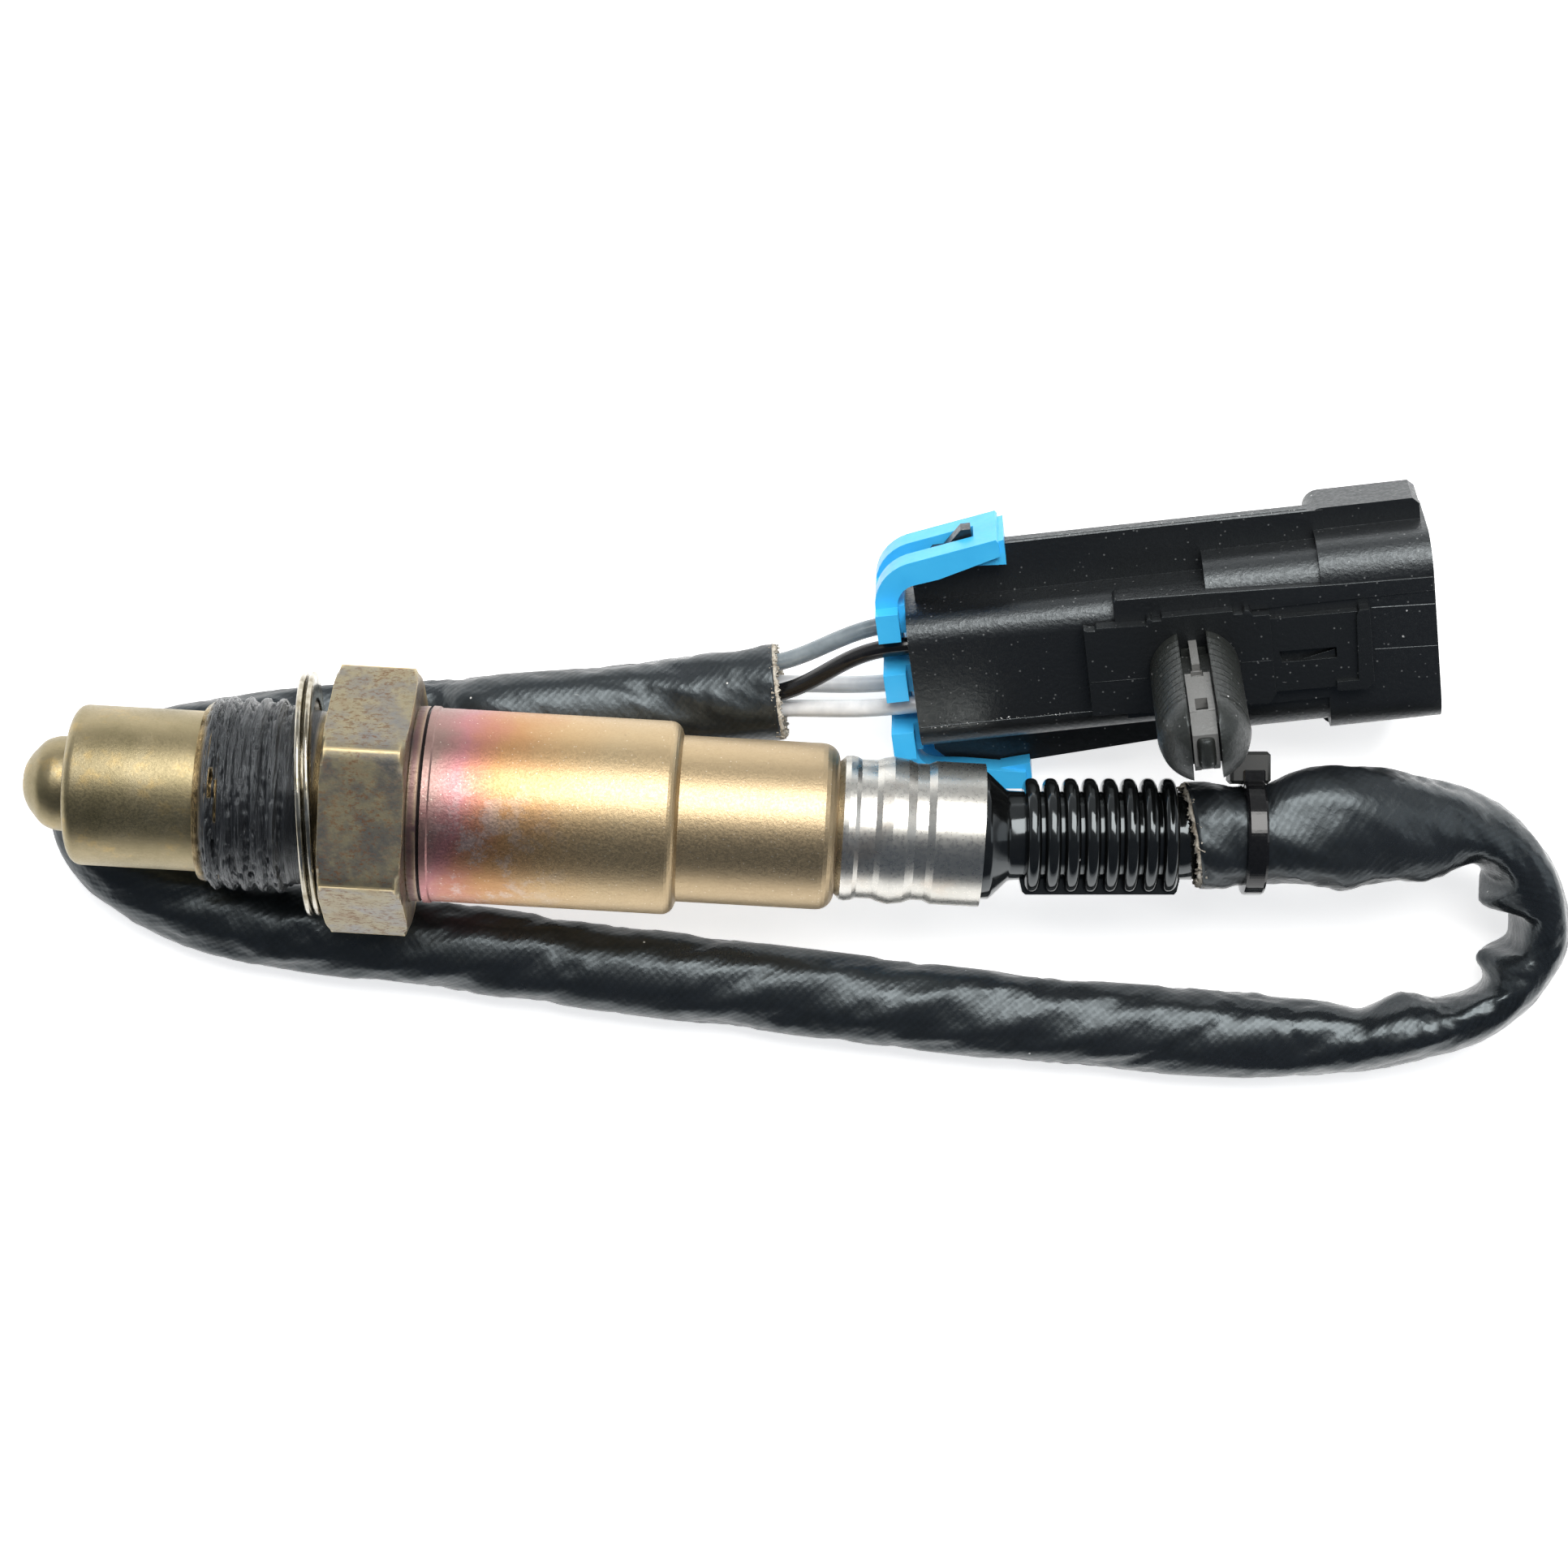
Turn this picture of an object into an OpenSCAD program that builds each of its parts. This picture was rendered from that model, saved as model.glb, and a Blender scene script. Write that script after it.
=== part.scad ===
// Heated four-wire oxygen sensor with its tail, connector and mounting clip.
// X runs along the sensor from tip to tail, X = 0 is the hexagon's seat face,
// Z is up. The sensor lies on the loop of its own sleeved cable.

/* [Protection tubes] */
// Outside diameter of the outer tube
tube_d = 14.85; // [14:0.05:15.5]
// Wall of the outer tube
tube_wall = 0.6; // [0.4:0.05:0.8]
// Free length of the outer tube in front of the thread
tube_l = 13.1; // [10:0.1:16]
// Outside diameter of the inner tube and its cap
cap_d = 8.8; // [8:0.1:9.4]
// How far the cap stands out of the outer tube
cap_out = 3.8; // [3.2:0.1:6]
// Wall of the inner tube
cap_wall = 0.45; // [0.3:0.05:0.6]
// Gas holes in the front ring of the outer tube
gas_holes = 8; // [6:1:10]

/* [Shell] */
// Thread outside diameter
thread_d = 18; // [17.6:0.1:18.4]
// Threaded length
thread_l = 8.3; // [7:0.1:10]
// Relief between the thread and the seat face
relief_l = 3.5; // [3.3:0.1:4.5]
// Relief diameter
relief_d = 16.5; // [16:0.1:16.7]
// Hexagon across flats
hex_af = 22; // [21.5:0.5:24]
// Hexagon height along the sensor
hex_h = 7.6; // [6:0.1:9]
// How far the hexagon is rolled on its axis
hex_roll = 8.5; // [6:0.5:12]
// Bore that holds the ceramics
bore_d = 10.6; // [10:0.1:11]

/* [Gasket] */
// Gasket outside diameter
gasket_d = 22.6; // [22:0.1:23]
// Gasket thickness
gasket_t = 1.9; // [1.6:0.1:2]
// Gasket bore
gasket_bore = 17.5; // [17.5:0.05:17.7]
// How far the loose gasket leans
gasket_lean = 4.6; // [3:0.2:5]

/* [Sleeve] */
// Front diameter of the protective sleeve
sleeve_d1 = 17.9; // [17.4:0.1:18.4]
// Rear diameter of the protective sleeve
sleeve_d2 = 15.4; // [15:0.1:16]
// Neck diameter under the crimp
neck_d = 10.6; // [10.2:0.1:10.8]
// Sheet thickness of the sleeve
sheet = 0.6; // [0.5:0.05:0.7]
// Length of the front part
sleeve_l1 = 23.2; // [21:0.1:25]
// Length of the rear part
sleeve_l2 = 14.5; // [13:0.1:16]

/* [Crimp and boot] */
// Length of the crimp sleeve
crimp_l = 13.4; // [12.8:0.1:14.5]
// Crimp sleeve diameter at its tail
crimp_d = 13.25; // [13.1:0.05:13.5]
// Crimp sleeve wall
crimp_wall = 0.4; // [0.3:0.05:0.5]
// Boot neck diameter
boot_neck_d = 8.3; // [8:0.1:8.6]
// Bellows rib diameter
rib_d = 10.6; // [10.2:0.1:11]
// Bellows pitch
rib_pitch = 1.77; // [1.6:0.01:1.9]
// Number of ribs
ribs = 8; // [6:1:9]
// Sideways lean of the boot
boot_lean = 3.25; // [0:0.25:4]

/* [Wires] */
// Wire outside diameter
wire_d = 1.65; // [1.5:0.05:1.7]
// Spacing of the wires in the sensor's tail
tail_pitch = 3.2; // [3.1:0.05:3.3]

/* [Connector] */
// Length of the housing
conn_l = 48.2; // [46:0.2:50]
// Width across the body at the wires
conn_w = 13.5; // [13.2:0.1:14]
// Thickness of the body at the wires
conn_t = 11.8; // [11.6:0.1:12.4]
// Width across the fins
fin_w = 23; // [22:0.1:23.4]
// Fin thickness
fin_t = 1.6; // [1.4:0.1:1.8]
// Width of the mating shroud
shroud_w = 18.8; // [18.4:0.1:19.4]
// Thickness of the mating shroud
shroud_t = 12.8; // [12.8:0.1:13.4]
// Length of the mating shroud
shroud_l = 10.2; // [9:0.1:11]
// Wall of the mating shroud
shroud_wall = 1.3; // [1.1:0.1:1.5]
// Wire spacing across the connector
pitch_v = 6.1; // [6:0.05:6.2]
// Wire spacing through the connector
pitch_w = 5.2; // [5.1:0.05:5.3]

/* [Lock] */
// Width of the lock's arms
lock_w = 7; // [6.4:0.1:7.6]
// Width of the window in each arm
lock_window = 2.4; // [2.2:0.1:2.8]
// Outer radius of the lock arm's corner
lock_bend_r = 4.3; // [4.1:0.1:4.4]
// Inner radius of the lock arm's corner
lock_bend_in = 2; // [1.8:0.1:2.2]

/* [Clip] */
// Length of the clip's slide plate
plate_l = 25.8; // [25:0.1:27]
// Width of the slide plate
plate_w = 8.4; // [8:0.1:9]
// Thickness of the slide plate
plate_t = 1.3; // [1.1:0.1:1.6]
// Stem diameter over its ribs
stem_d = 8.3; // [8:0.1:8.6]
// Stem length with its nose
stem_l = 17.7; // [17:0.1:19]
// Ribs on the stem
stem_ribs = 9; // [7:1:9]

/* [Hidden] */
$fn = 96;

// Stations along the sensor, from tip to tail
x_thread = -(relief_l + thread_l);
x_tube = x_thread - tube_l;
x_tip = x_tube - cap_out;
x_spigot = x_thread - 2.5;
x_step = x_thread + 0.8;
flange_t = 0.6;
low_ins_l = 7;
talc_l = 5;
x_talc = x_step + flange_t + low_ins_l;
x_upper = x_talc + talc_l;
x_collar = hex_h + 1.06;
x_groove = x_collar + 0.24;
x_rim = x_groove + 6.1;
rim_t = 0.8;
x_sleeve_step = x_groove + sleeve_l1;
x_sleeve_end = x_sleeve_step + sleeve_l2;
x_crimp_end = x_sleeve_end + crimp_l;
x_neck_end = x_crimp_end - 2;
x_holder = x_sleeve_step - 8;
x_barrel = x_sleeve_end - 9;
x_wire = x_barrel + 4.4;
strip_w = 4.2;
strip_t = 1.6;
nose_l = strip_w * 0.7;
slot_h = strip_t * 3;
leaf_w = strip_w * 0.29;
leaf_t = strip_t * 0.19;
lock_face = lock_bend_r - 1.6;
lock_bend_v = pitch_v + 1.4;
x_strip_end = x_barrel - 0.6;
wire_r = wire_d / 2;
wire_play = 0.03;
// The pairs of signs that place four wires in a square
SIDES = [[1, 1], [1, -1], [-1, 1], [-1, -1]];
// Boot stations, counted from the crimp's mouth along the leaning boot
s_cone = 2.4;
s_bellows = 4;
s_bellows_end = s_bellows + ribs * rib_pitch;
s_boot_end = s_bellows_end + 1.3;
boot_bore = 6.4;
web_r = rib_d / 2 + 0.12;
web_t = 1.6;
// Connector place and attitude
conn_pos = [53.1, 15.8, -6.45];
conn_head = 9.25;
conn_pitch = 5.5;
conn_roll = 27;
u_plateau = 19.4;
u_mid = 27.6;
u_shroud = conn_l - shroud_l;
mid_w = 17.2;
u_cavity = 31;
u_catch = 6.8;
catch_h = 1.8;
seal_d = 4.4;
seal_l = 6;
chamber_d = 3.4;
// Rest plane of the whole part, and the cable section that lies on it
rest_z = -14.8;

// Solid turned about X from [radius, x] points
module turned(p) rotate([0, 90, 0]) rotate_extrude() polygon(p);

// Points on an arc: centre, radius, start and end angle, number of steps
function arc(c, r, a0, a1, n = 6) =
    [for (i = [0:n]) let (a = a0 + (a1 - a0) * i / n) c + r * [cos(a), sin(a)]];

// Rod along X
module rod(r, x0, x1) translate([x0, 0, 0]) rotate([0, 90, 0]) cylinder(r = r, h = x1 - x0);

// ---- probe ----

// Outline of the cap, drawn in by d for the inside
function cap_outline(d) = let (r = cap_d / 2 - d, x = x_tip + d) [
    [0, x], [r * 0.42, x], [r * 0.72, x + 0.35], [r * 0.9, x + 1.1], [r, x + 2.6]
];

module inner_protection_tube() color([0.60, 0.54, 0.46]) difference() {
    turned(concat(cap_outline(0), [
        [cap_d / 2, x_step], [bore_d / 2, x_step], [bore_d / 2, x_step + flange_t],
        [0, x_step + flange_t]
    ]));
    turned(concat(cap_outline(cap_wall),
        [[cap_d / 2 - cap_wall, x_step + 9], [0, x_step + 9]]));
    // side gas holes, hidden inside the outer tube
    for (a = [0:60:300]) rotate([a, 0, 0]) translate([x_tube + 8, 0, 0])
        cylinder(d = 1.6, h = cap_d);
}

module outer_protection_tube() color([0.62, 0.56, 0.47]) difference() {
    r = tube_d / 2;
    ri = r - tube_wall;
    turned(concat(
        [[cap_d / 2, x_tube]], arc([r - 2, x_tube + 2], 2, -90, 0),
        [[r, x_thread], [ri, x_thread]], arc([r - 2, x_tube + 2], 2 - tube_wall, 0, -90),
        [[cap_d / 2, x_tube + tube_wall]]));
    for (i = [0:gas_holes - 1]) rotate([i * 360 / gas_holes, 0, 0])
        translate([x_tube - 1, 0, (r - 2 + cap_d / 2) / 2]) rotate([0, 90, 0])
            cylinder(d = 0.8, h = 3);
}

// Hexagon with both ends chamfered
module hexagon() intersection() {
    rotate([hex_roll + 30, 0, 0]) rotate([0, 90, 0])
        cylinder(d = hex_af / cos(30), h = hex_h, $fn = 6);
    turned([
        [0, 0], [hex_af / 2 + 0.7, 0], [hex_af / 2 + 1.8, 0.5],
        [hex_af / 2 + 1.8, hex_h - 0.8], [hex_af / 2 + 0.3, hex_h], [0, hex_h]
    ]);
}

module sensor_shell() color([0.52, 0.46, 0.38]) difference() {
    union() {
        turned([
            [0, x_spigot], [tube_d / 2 - tube_wall, x_spigot],
            [tube_d / 2 - tube_wall, x_thread], [thread_d / 2 - 1, x_thread],
            [thread_d / 2, x_thread + 1.1], [thread_d / 2, -relief_l],
            [relief_d / 2, -relief_l], [relief_d / 2, 0.5], [hex_af / 2 - 0.2, 0.5],
            [hex_af / 2 - 0.2, hex_h - 0.5], [sleeve_d1 / 2, hex_h - 0.5],
            [sleeve_d1 / 2, x_collar], [sleeve_d1 / 2 - 0.3, x_collar],
            [sleeve_d1 / 2 - 0.3, x_groove], [sleeve_d1 / 2 - sheet, x_groove],
            [sleeve_d1 / 2 - sheet, x_rim - 1], [sleeve_d1 / 2 - sheet - 1, x_rim],
            [0, x_rim]
        ]);
        hexagon();
    }
    // stepped bore, narrowed at the front for the inner tube and rolled in behind
    turned([
        [0, x_spigot - 1], [cap_d / 2, x_spigot - 1], [cap_d / 2, x_step],
        [bore_d / 2, x_step], [bore_d / 2, x_rim - rim_t],
        [bore_d / 2 - 0.9, x_rim - rim_t], [bore_d / 2 - 0.9, x_rim + 1], [0, x_rim + 1]
    ]);
}

// Folded washer: two rounded lips round a narrow outer fold
module gasket_ring() color([0.78, 0.78, 0.76])
    translate([-2.16, 0.36, 0]) rotate([0, 0, gasket_lean]) {
        lip = gasket_t / 2 - 0.15;
        turned(concat(
            [[gasket_bore / 2, -gasket_t / 2 + 0.3], [gasket_bore / 2 + 0.3, -gasket_t / 2]],
            arc([gasket_d / 2 - lip / 2, -gasket_t / 2 + lip / 2], lip / 2, -90, 90),
            [[gasket_d / 2 - 1.4, -0.15], [gasket_d / 2 - 1.4, 0.15]],
            arc([gasket_d / 2 - lip / 2, gasket_t / 2 - lip / 2], lip / 2, -90, 90),
            [[gasket_bore / 2 + 0.3, gasket_t / 2], [gasket_bore / 2, gasket_t / 2 - 0.3]]));
    }

module strip_slot(x0, x1)
    translate([x0, -strip_w / 2, -strip_t / 2]) cube([x1 - x0, strip_w, strip_t]);

module sensing_element() color([0.90, 0.89, 0.85])
    strip_slot(x_tip + 2.2, x_strip_end);

module lower_insulator() color([0.93, 0.91, 0.86]) difference() {
    rod(bore_d / 2, x_step + flange_t, x_talc);
    strip_slot(x_step, x_talc + 1);
}

module talc_ring() color([0.72, 0.75, 0.72]) difference() {
    rod(bore_d / 2, x_talc, x_upper);
    strip_slot(x_talc - 1, x_upper + 1);
}

module upper_insulator() color([0.93, 0.91, 0.86]) difference() {
    turned([
        [0, x_upper], [bore_d / 2, x_upper], [bore_d / 2, x_rim - rim_t],
        [bore_d / 2 - 0.9, x_rim - rim_t], [bore_d / 2 - 0.9, x_rim + nose_l], [0, x_rim + nose_l]
    ]);
    strip_slot(x_upper - 1, x_rim + nose_l + 1);
}

// ---- sleeve and tail ----

module contact_holder() color([0.88, 0.86, 0.80]) difference() {
    turned([
        [0, x_holder], [5.6, x_holder], [5.6, x_sleeve_step + 1.5],
        [sleeve_d2 / 2 - sheet, x_sleeve_step + 2], [sleeve_d2 / 2 - sheet, x_sleeve_end - 2.6],
        [0, x_sleeve_end - 2.6]
    ]);
    translate([x_holder - 1, -strip_w / 2 - 0.2, -slot_h / 2])
        cube([x_barrel - x_holder + 1, strip_w + 0.4, slot_h]);
    for (s = SIDES) translate([0, s[0] * tail_pitch / 2, s[1] * tail_pitch / 2])
        rod(0.95, x_barrel - 1, x_sleeve_end);
}

// Leaf on the strip's pad with a barrel for its wire
module contact_spring(i) color([0.75, 0.70, 0.55]) {
    s = SIDES[i - 1];
    scale([1, s[0], s[1]]) {
        translate([x_holder + 1.5, 0.5, strip_t / 2])
            cube([x_barrel - x_holder - 1.5, leaf_w, leaf_t]);
        translate([x_barrel - 0.5, 0.5, strip_t / 2]) cube([0.5, leaf_w + 0.4, leaf_t + 1]);
        translate([0, tail_pitch / 2, tail_pitch / 2]) rod(0.9, x_barrel - 0.3, x_wire);
    }
}

// Drawn sleeve; the inner outline follows the outer one at the sheet's thickness
module protective_sleeve() color([0.80, 0.70, 0.52]) {
    r1 = sleeve_d1 / 2;
    r2 = sleeve_d2 / 2;
    rn = neck_d / 2;
    turned(concat(
        [[r1 - sheet, x_groove], [r1 + 0.15, x_groove], [r1 + 0.15, x_groove + 0.6],
         [r1, x_groove + 0.75]],
        arc([r1 - 1.2, x_sleeve_step - 1.3], 1.2, 0, 80),
        [[r2, x_sleeve_step]],
        arc([r2 - 1.6, x_sleeve_end - 1.6], 1.6, 0, 90),
        [[rn, x_sleeve_end], [rn, x_neck_end], [rn - sheet, x_neck_end],
         [rn - sheet, x_sleeve_end - sheet]],
        arc([r2 - 1.6, x_sleeve_end - 1.6], 1.6 - sheet, 90, 0),
        [[r2 - sheet, x_sleeve_step - sheet]],
        arc([r1 - 1.2, x_sleeve_step - 1.3], 1.2 - sheet, 80, 0)));
}

// Rolled outline of the crimp, drawn in by d: bead, groove, bulge, groove, tail
function crimp_outline(d) = let (x = x_sleeve_end, r = crimp_d / 2 - d) [
    [r - 0.5, x], [r + 0.02, x + 0.5], [r + 0.12, x + 1], [r + 0.02, x + 1.6],
    [r - 0.2, x + 2], [r - 0.2, x + 3.45], [r + 0.02, x + 4], [r + 0.22, x + 5],
    [r + 0.02, x + 6.3], [r - 0.3, x + 7.1], [r - 0.3, x + 8.2], [r, x + 8.9],
    [r, x_crimp_end]
];

function reversed(p) = [for (i = [len(p) - 1:-1:0]) p[i]];

module crimp_sleeve() color([0.84, 0.84, 0.82])
    turned(concat(crimp_outline(0), reversed(crimp_outline(crimp_wall))));

module grommet() color([0.92, 0.92, 0.90]) difference() {
    rod(neck_d / 2 - sheet, x_sleeve_end, x_neck_end);
    for (s = SIDES) translate([0, s[0] * tail_pitch / 2, s[1] * tail_pitch / 2])
        rod(wire_r + wire_play, x_sleeve_end - 1, x_neck_end + 1);
}

// One bellows rib as a rounded tooth, k counts from the cone
function rib_points(k) = let (s = s_bellows + (k + 0.5) * rib_pitch, r = rib_pitch * 0.24)
    concat([[boot_neck_d / 2 - 0.1, s - rib_pitch / 2 + 0.1], [boot_neck_d / 2, s - r]],
        arc([rib_d / 2 - r, s], r, -90, 90, 6), [[boot_neck_d / 2, s + r]]);

// Places its children on the leaning boot, X from the crimp's mouth
module on_boot() translate([x_crimp_end, 0, 0]) rotate([0, 0, boot_lean]) children();

module rubber_boot() color([0.08, 0.08, 0.08]) difference() {
    union() {
        turned(concat([[neck_d / 2, x_sleeve_end]], crimp_outline(crimp_wall),
            [[0, x_crimp_end], [0, x_neck_end], [neck_d / 2, x_neck_end]]));
        on_boot() turned(concat(
            [[0, -1], [crimp_d / 2 - crimp_wall - 0.3, -1],
             [crimp_d / 2 - crimp_wall - 0.3, 0.5], [boot_neck_d / 2, s_cone],
             [boot_neck_d / 2, s_bellows]],
            [for (k = [0:ribs - 1]) each rib_points(k)],
            [[boot_neck_d / 2 - 0.1, s_bellows_end], [boot_neck_d / 2, s_bellows_end + 0.2],
             [boot_neck_d / 2, s_boot_end], [0, s_boot_end]]));
        // seam web that joins the ribs on one side
        on_boot() linear_extrude(web_t, center = true) mirror([0, 1, 0]) polygon([
            [s_bellows - 0.4, boot_neck_d / 2 - 0.3], [s_bellows + 0.5, web_r],
            [s_bellows_end - 0.9, web_r], [s_bellows_end + 0.1, boot_neck_d / 2 - 0.3]]);
    }
    rod(boot_bore / 2 + 0.4, x_neck_end - 1, x_crimp_end);
    on_boot() rod(boot_bore / 2, -0.5, s_boot_end + 1);
}

// ---- cable ----

// Point on the boot's axis, s from the crimp's mouth
function boot_point(s, w, h) =
    [x_crimp_end + s * cos(boot_lean), s * sin(boot_lean), 0, w, h];

// Place of the cable tie along the boot's axis
s_tie = s_boot_end + 6.4;
tie_w = 2;
tie_id = 9.2;
tied_d = tie_id - 0.6;
// Route of the sleeved cable: x, y, z of its middle, width and height there.
// It leaves the boot, turns back on the right, runs under the tube and
// comes back beside the sleeve to its cut end.
cable_route = concat(
    [boot_point(s_boot_end, 9.8, 9.8), boot_point(s_boot_end + 2.5, 9.8, 9.8),
     boot_point(s_tie - 1.6, tied_d, tied_d), boot_point(s_tie, tied_d, tied_d),
     boot_point(s_tie + 1.6, tied_d, tied_d)],
    [
        [ 91.0,   2.6,   0.1, 11.2,  9.2], [ 95.5,   3.2,  -0.6, 10.8,  9.0],
        [ 99.9,   3.1,  -2.0,  9.6,  9.0], [104.2,   2.9,  -3.6,  8.4,  9.4],
        [108.3,   1.4,  -5.2,  7.6,  9.8], [111.9,  -1.4,  -6.8,  5.8, 10.4],
        [113.6,  -5.1,  -8.2,  5.4, 10.6], [113.4,  -8.4,  -9.1,  5.4, 10.6],
        [111.3, -11.7,  -9.5,  5.4, 10.6], [108.3, -14.2,  -9.6,  5.4, 10.4],
        [105.2, -15.7,  -9.8,  5.4, 10.0], [102.0, -16.6, -10.0,  5.6,  9.6],
        [ 98.4, -17.4, -10.4,  6.2,  8.8], [ 92.0, -17.7, -10.9,  7.7,  7.8],
        [ 84.0, -17.7, -11.1,  8.4,  7.4], [ 73.5, -17.6, -11.1,  8.4,  7.4],
        [ 63.5, -17.2, -11.1,  8.4,  7.4], [ 54.5, -16.7, -11.1,  8.4,  7.4],
        [ 45.5, -16.1, -11.1,  8.4,  7.4], [ 37.5, -15.6, -11.1,  8.4,  7.4],
        [ 23.5, -14.6, -11.1,  8.4,  7.4], [ 11.0, -13.6, -11.1,  8.4,  7.4],
        [ -1.5, -12.8, -11.1,  8.4,  7.4], [ -9.5, -11.9, -11.1,  8.4,  7.4],
        [-16.0, -10.2, -11.1,  8.4,  7.4], [-21.3,  -7.2, -11.2,  8.4,  7.2],
        [-24.0,  -3.0, -11.2,  8.4,  7.2], [-21.8,   1.4, -11.2,  8.4,  7.2],
        [-16.1,   3.8, -11.2,  8.4,  7.2], [-10.5,   5.1, -11.9,  8.4,  5.8],
        [ -5.5,   6.0, -12.5,  8.6,  4.6], [ -0.5,   6.6, -12.7,  8.8,  4.2],
        [  4.5,   7.2, -12.7,  8.8,  4.2], [  9.0,   7.7, -12.6,  8.7,  4.4],
        [ 12.5,   8.2, -11.3,  8.5,  7.0], [ 16.5,   8.8, -11.1,  8.4,  7.4], [ 22.0,   9.5, -11.1,  8.4,  7.4],
        [ 28.2,  10.5, -11.1,  8.4,  7.4], [ 34.4,  11.5, -10.8,  8.8,  8.0],
        [ 40.4,  12.5, -10.4,  9.4,  8.8]
    ]);

function unit(v) = v / norm(v);
function xyz(p) = [p[0], p[1], p[2]];

// Smooth curve through the points, n steps for each stretch
function clamp_i(p, i) = p[max(0, min(len(p) - 1, i))];
function curve_at(p, i, t) = let (a = clamp_i(p, i - 1), b = p[i], c = clamp_i(p, i + 1),
    d = clamp_i(p, i + 2)) 0.5 * (2 * b + (c - a) * t + (2 * a - 5 * b + 4 * c - d) * t * t
    + (3 * b - a - 3 * c + d) * t * t * t);
function smooth_curve(p, n) = concat(
    [for (i = [0:len(p) - 2]) each [for (j = [0:n - 1]) curve_at(p, i, j / n)]],
    [p[len(p) - 1]]);

function direction(p, i) = unit(xyz(clamp_i(p, i + 1)) - xyz(clamp_i(p, i - 1)));

// Oval ring across the curve at point i; nothing goes below the floor
function oval(p, i, sides, floor_z) = let (t = direction(p, i), n = unit([-t[1], t[0], 0]),
    b = cross(t, n)) [for (k = [0:sides - 1]) let (a = (k + 0.5) * 360 / sides,
    q = xyz(p[i]) + n * p[i][3] / 2 * cos(a) + b * p[i][4] / 2 * sin(a))
    [q[0], q[1], max(q[2], floor_z)]];
// Widens the sections so that the flats of the ring reach the stated size
function full_size(p, sides) =
    [for (q = p) [q[0], q[1], q[2], q[3] / cos(180 / sides), q[4] / cos(180 / sides)]];

// Closed tube along a curve of [x, y, z, width, height] points
module swept(p, sides, floor_z) {
    m = len(p);
    points = [for (i = [0:m - 1]) each oval(p, i, sides, floor_z)];
    walls = [for (i = [0:m - 2], k = [0:sides - 1]) let (j = (k + 1) % sides)
        [i * sides + k, (i + 1) * sides + k, (i + 1) * sides + j, i * sides + j]];
    start = [for (k = [0:sides - 1]) k];
    end = [for (k = [sides - 1:-1:0]) (m - 1) * sides + k];
    polyhedron(points, concat(walls, [start, end]));
}

module braided_sleeve() color([0.20, 0.20, 0.20])
    swept(full_size(smooth_curve(cable_route, 2), 12), 12, rest_z);

// Strap round the sleeve with its head on the connector's side
module cable_tie() color([0.06, 0.06, 0.06]) on_boot() {
    difference() {
        rod(tie_id / 2 + 0.9, s_tie - tie_w / 2, s_tie + tie_w / 2);
        rod(tie_id / 2, s_tie - tie_w, s_tie + tie_w);
    }
    translate([s_tie + tie_w / 2 - 3.8, tie_id / 2 + 0.3, -1.9]) cube([3.8, 2.9, 3.8]);
}

// Point in the connector's own axes: u forward, v across, w out of the clip's face
function turn_x(p, a) = [p[0], p[1] * cos(a) - p[2] * sin(a), p[1] * sin(a) + p[2] * cos(a)];
function turn_y(p, a) = [p[0] * cos(a) + p[2] * sin(a), p[1], -p[0] * sin(a) + p[2] * cos(a)];
function turn_z(p, a) = [p[0] * cos(a) - p[1] * sin(a), p[0] * sin(a) + p[1] * cos(a), p[2]];
function conn_point(p) =
    conn_pos + turn_z(turn_y(turn_x(p, conn_roll), -conn_pitch), conn_head);

// Point in the boot's own axes, x counted from the crimp's mouth
function boot_xyz(p) = [x_crimp_end, 0, 0] + turn_z(p, boot_lean);

// Plain tube of the wire's size along a smooth curve through the points
module wire_tube(p) swept(smooth_curve([for (q = p) concat(q, [wire_d, wire_d])], 3), 8, rest_z);

// Each wire in two lengths, the run inside the cable is left out: one from the
// contact through grommet and boot, one from the cut end through the seal
module wire(start, side) {
    y = side[0] * tail_pitch / 2;
    z = side[1] * tail_pitch / 2;
    v = side[0] * pitch_v / 2;
    w = side[1] * pitch_w / 2;
    wire_tube([[x_wire, y, z], [x_neck_end, y, z], [x_crimp_end, y, z],
        boot_xyz([s_boot_end, y, z])]);
    wire_tube([start, start + [2.2, 0.3, 0.1], conn_point([-5.5, v, w]),
        conn_point([-2.6, v, w]), conn_point([0.2, v, w]), conn_point([seal_l + 2.6, v, w])]);
}

module wire_black() color([0.07, 0.07, 0.07]) wire([40.8, 12.4, -8.0], SIDES[0]);
module wire_grey() color([0.40, 0.42, 0.43]) wire([40.2, 15.2, -9.2], SIDES[1]);
module wire_white_a() color([0.90, 0.90, 0.88]) wire([41.1, 10.9, -9.7], SIDES[2]);
module wire_white_b() color([0.90, 0.90, 0.88]) wire([40.6, 13.3, -11.8], SIDES[3]);

// ---- connector ----

module in_connector() translate(conn_pos) rotate([0, 0, conn_head])
    rotate([0, -conn_pitch, 0]) rotate([conn_roll, 0, 0]) children();

// Rounded rectangle from straight and round parts, true arcs
module rounded(w, t, r) {
    square([w - 2 * r, t], center = true);
    square([w, t - 2 * r], center = true);
    for (x = [-1, 1], y = [-1, 1]) translate([x * (w / 2 - r), y * (t / 2 - r)]) circle(r = r);
}

// Rounded block along u
module block(u0, u1, w, t, r)
    translate([u0, 0, 0]) rotate([90, 0, 90]) linear_extrude(u1 - u0) rounded(w, t, r);

// Flat piece in the u-v plane, d thick about w = 0
module slab(p, d) linear_extrude(d, center = true) polygon(p);

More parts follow.
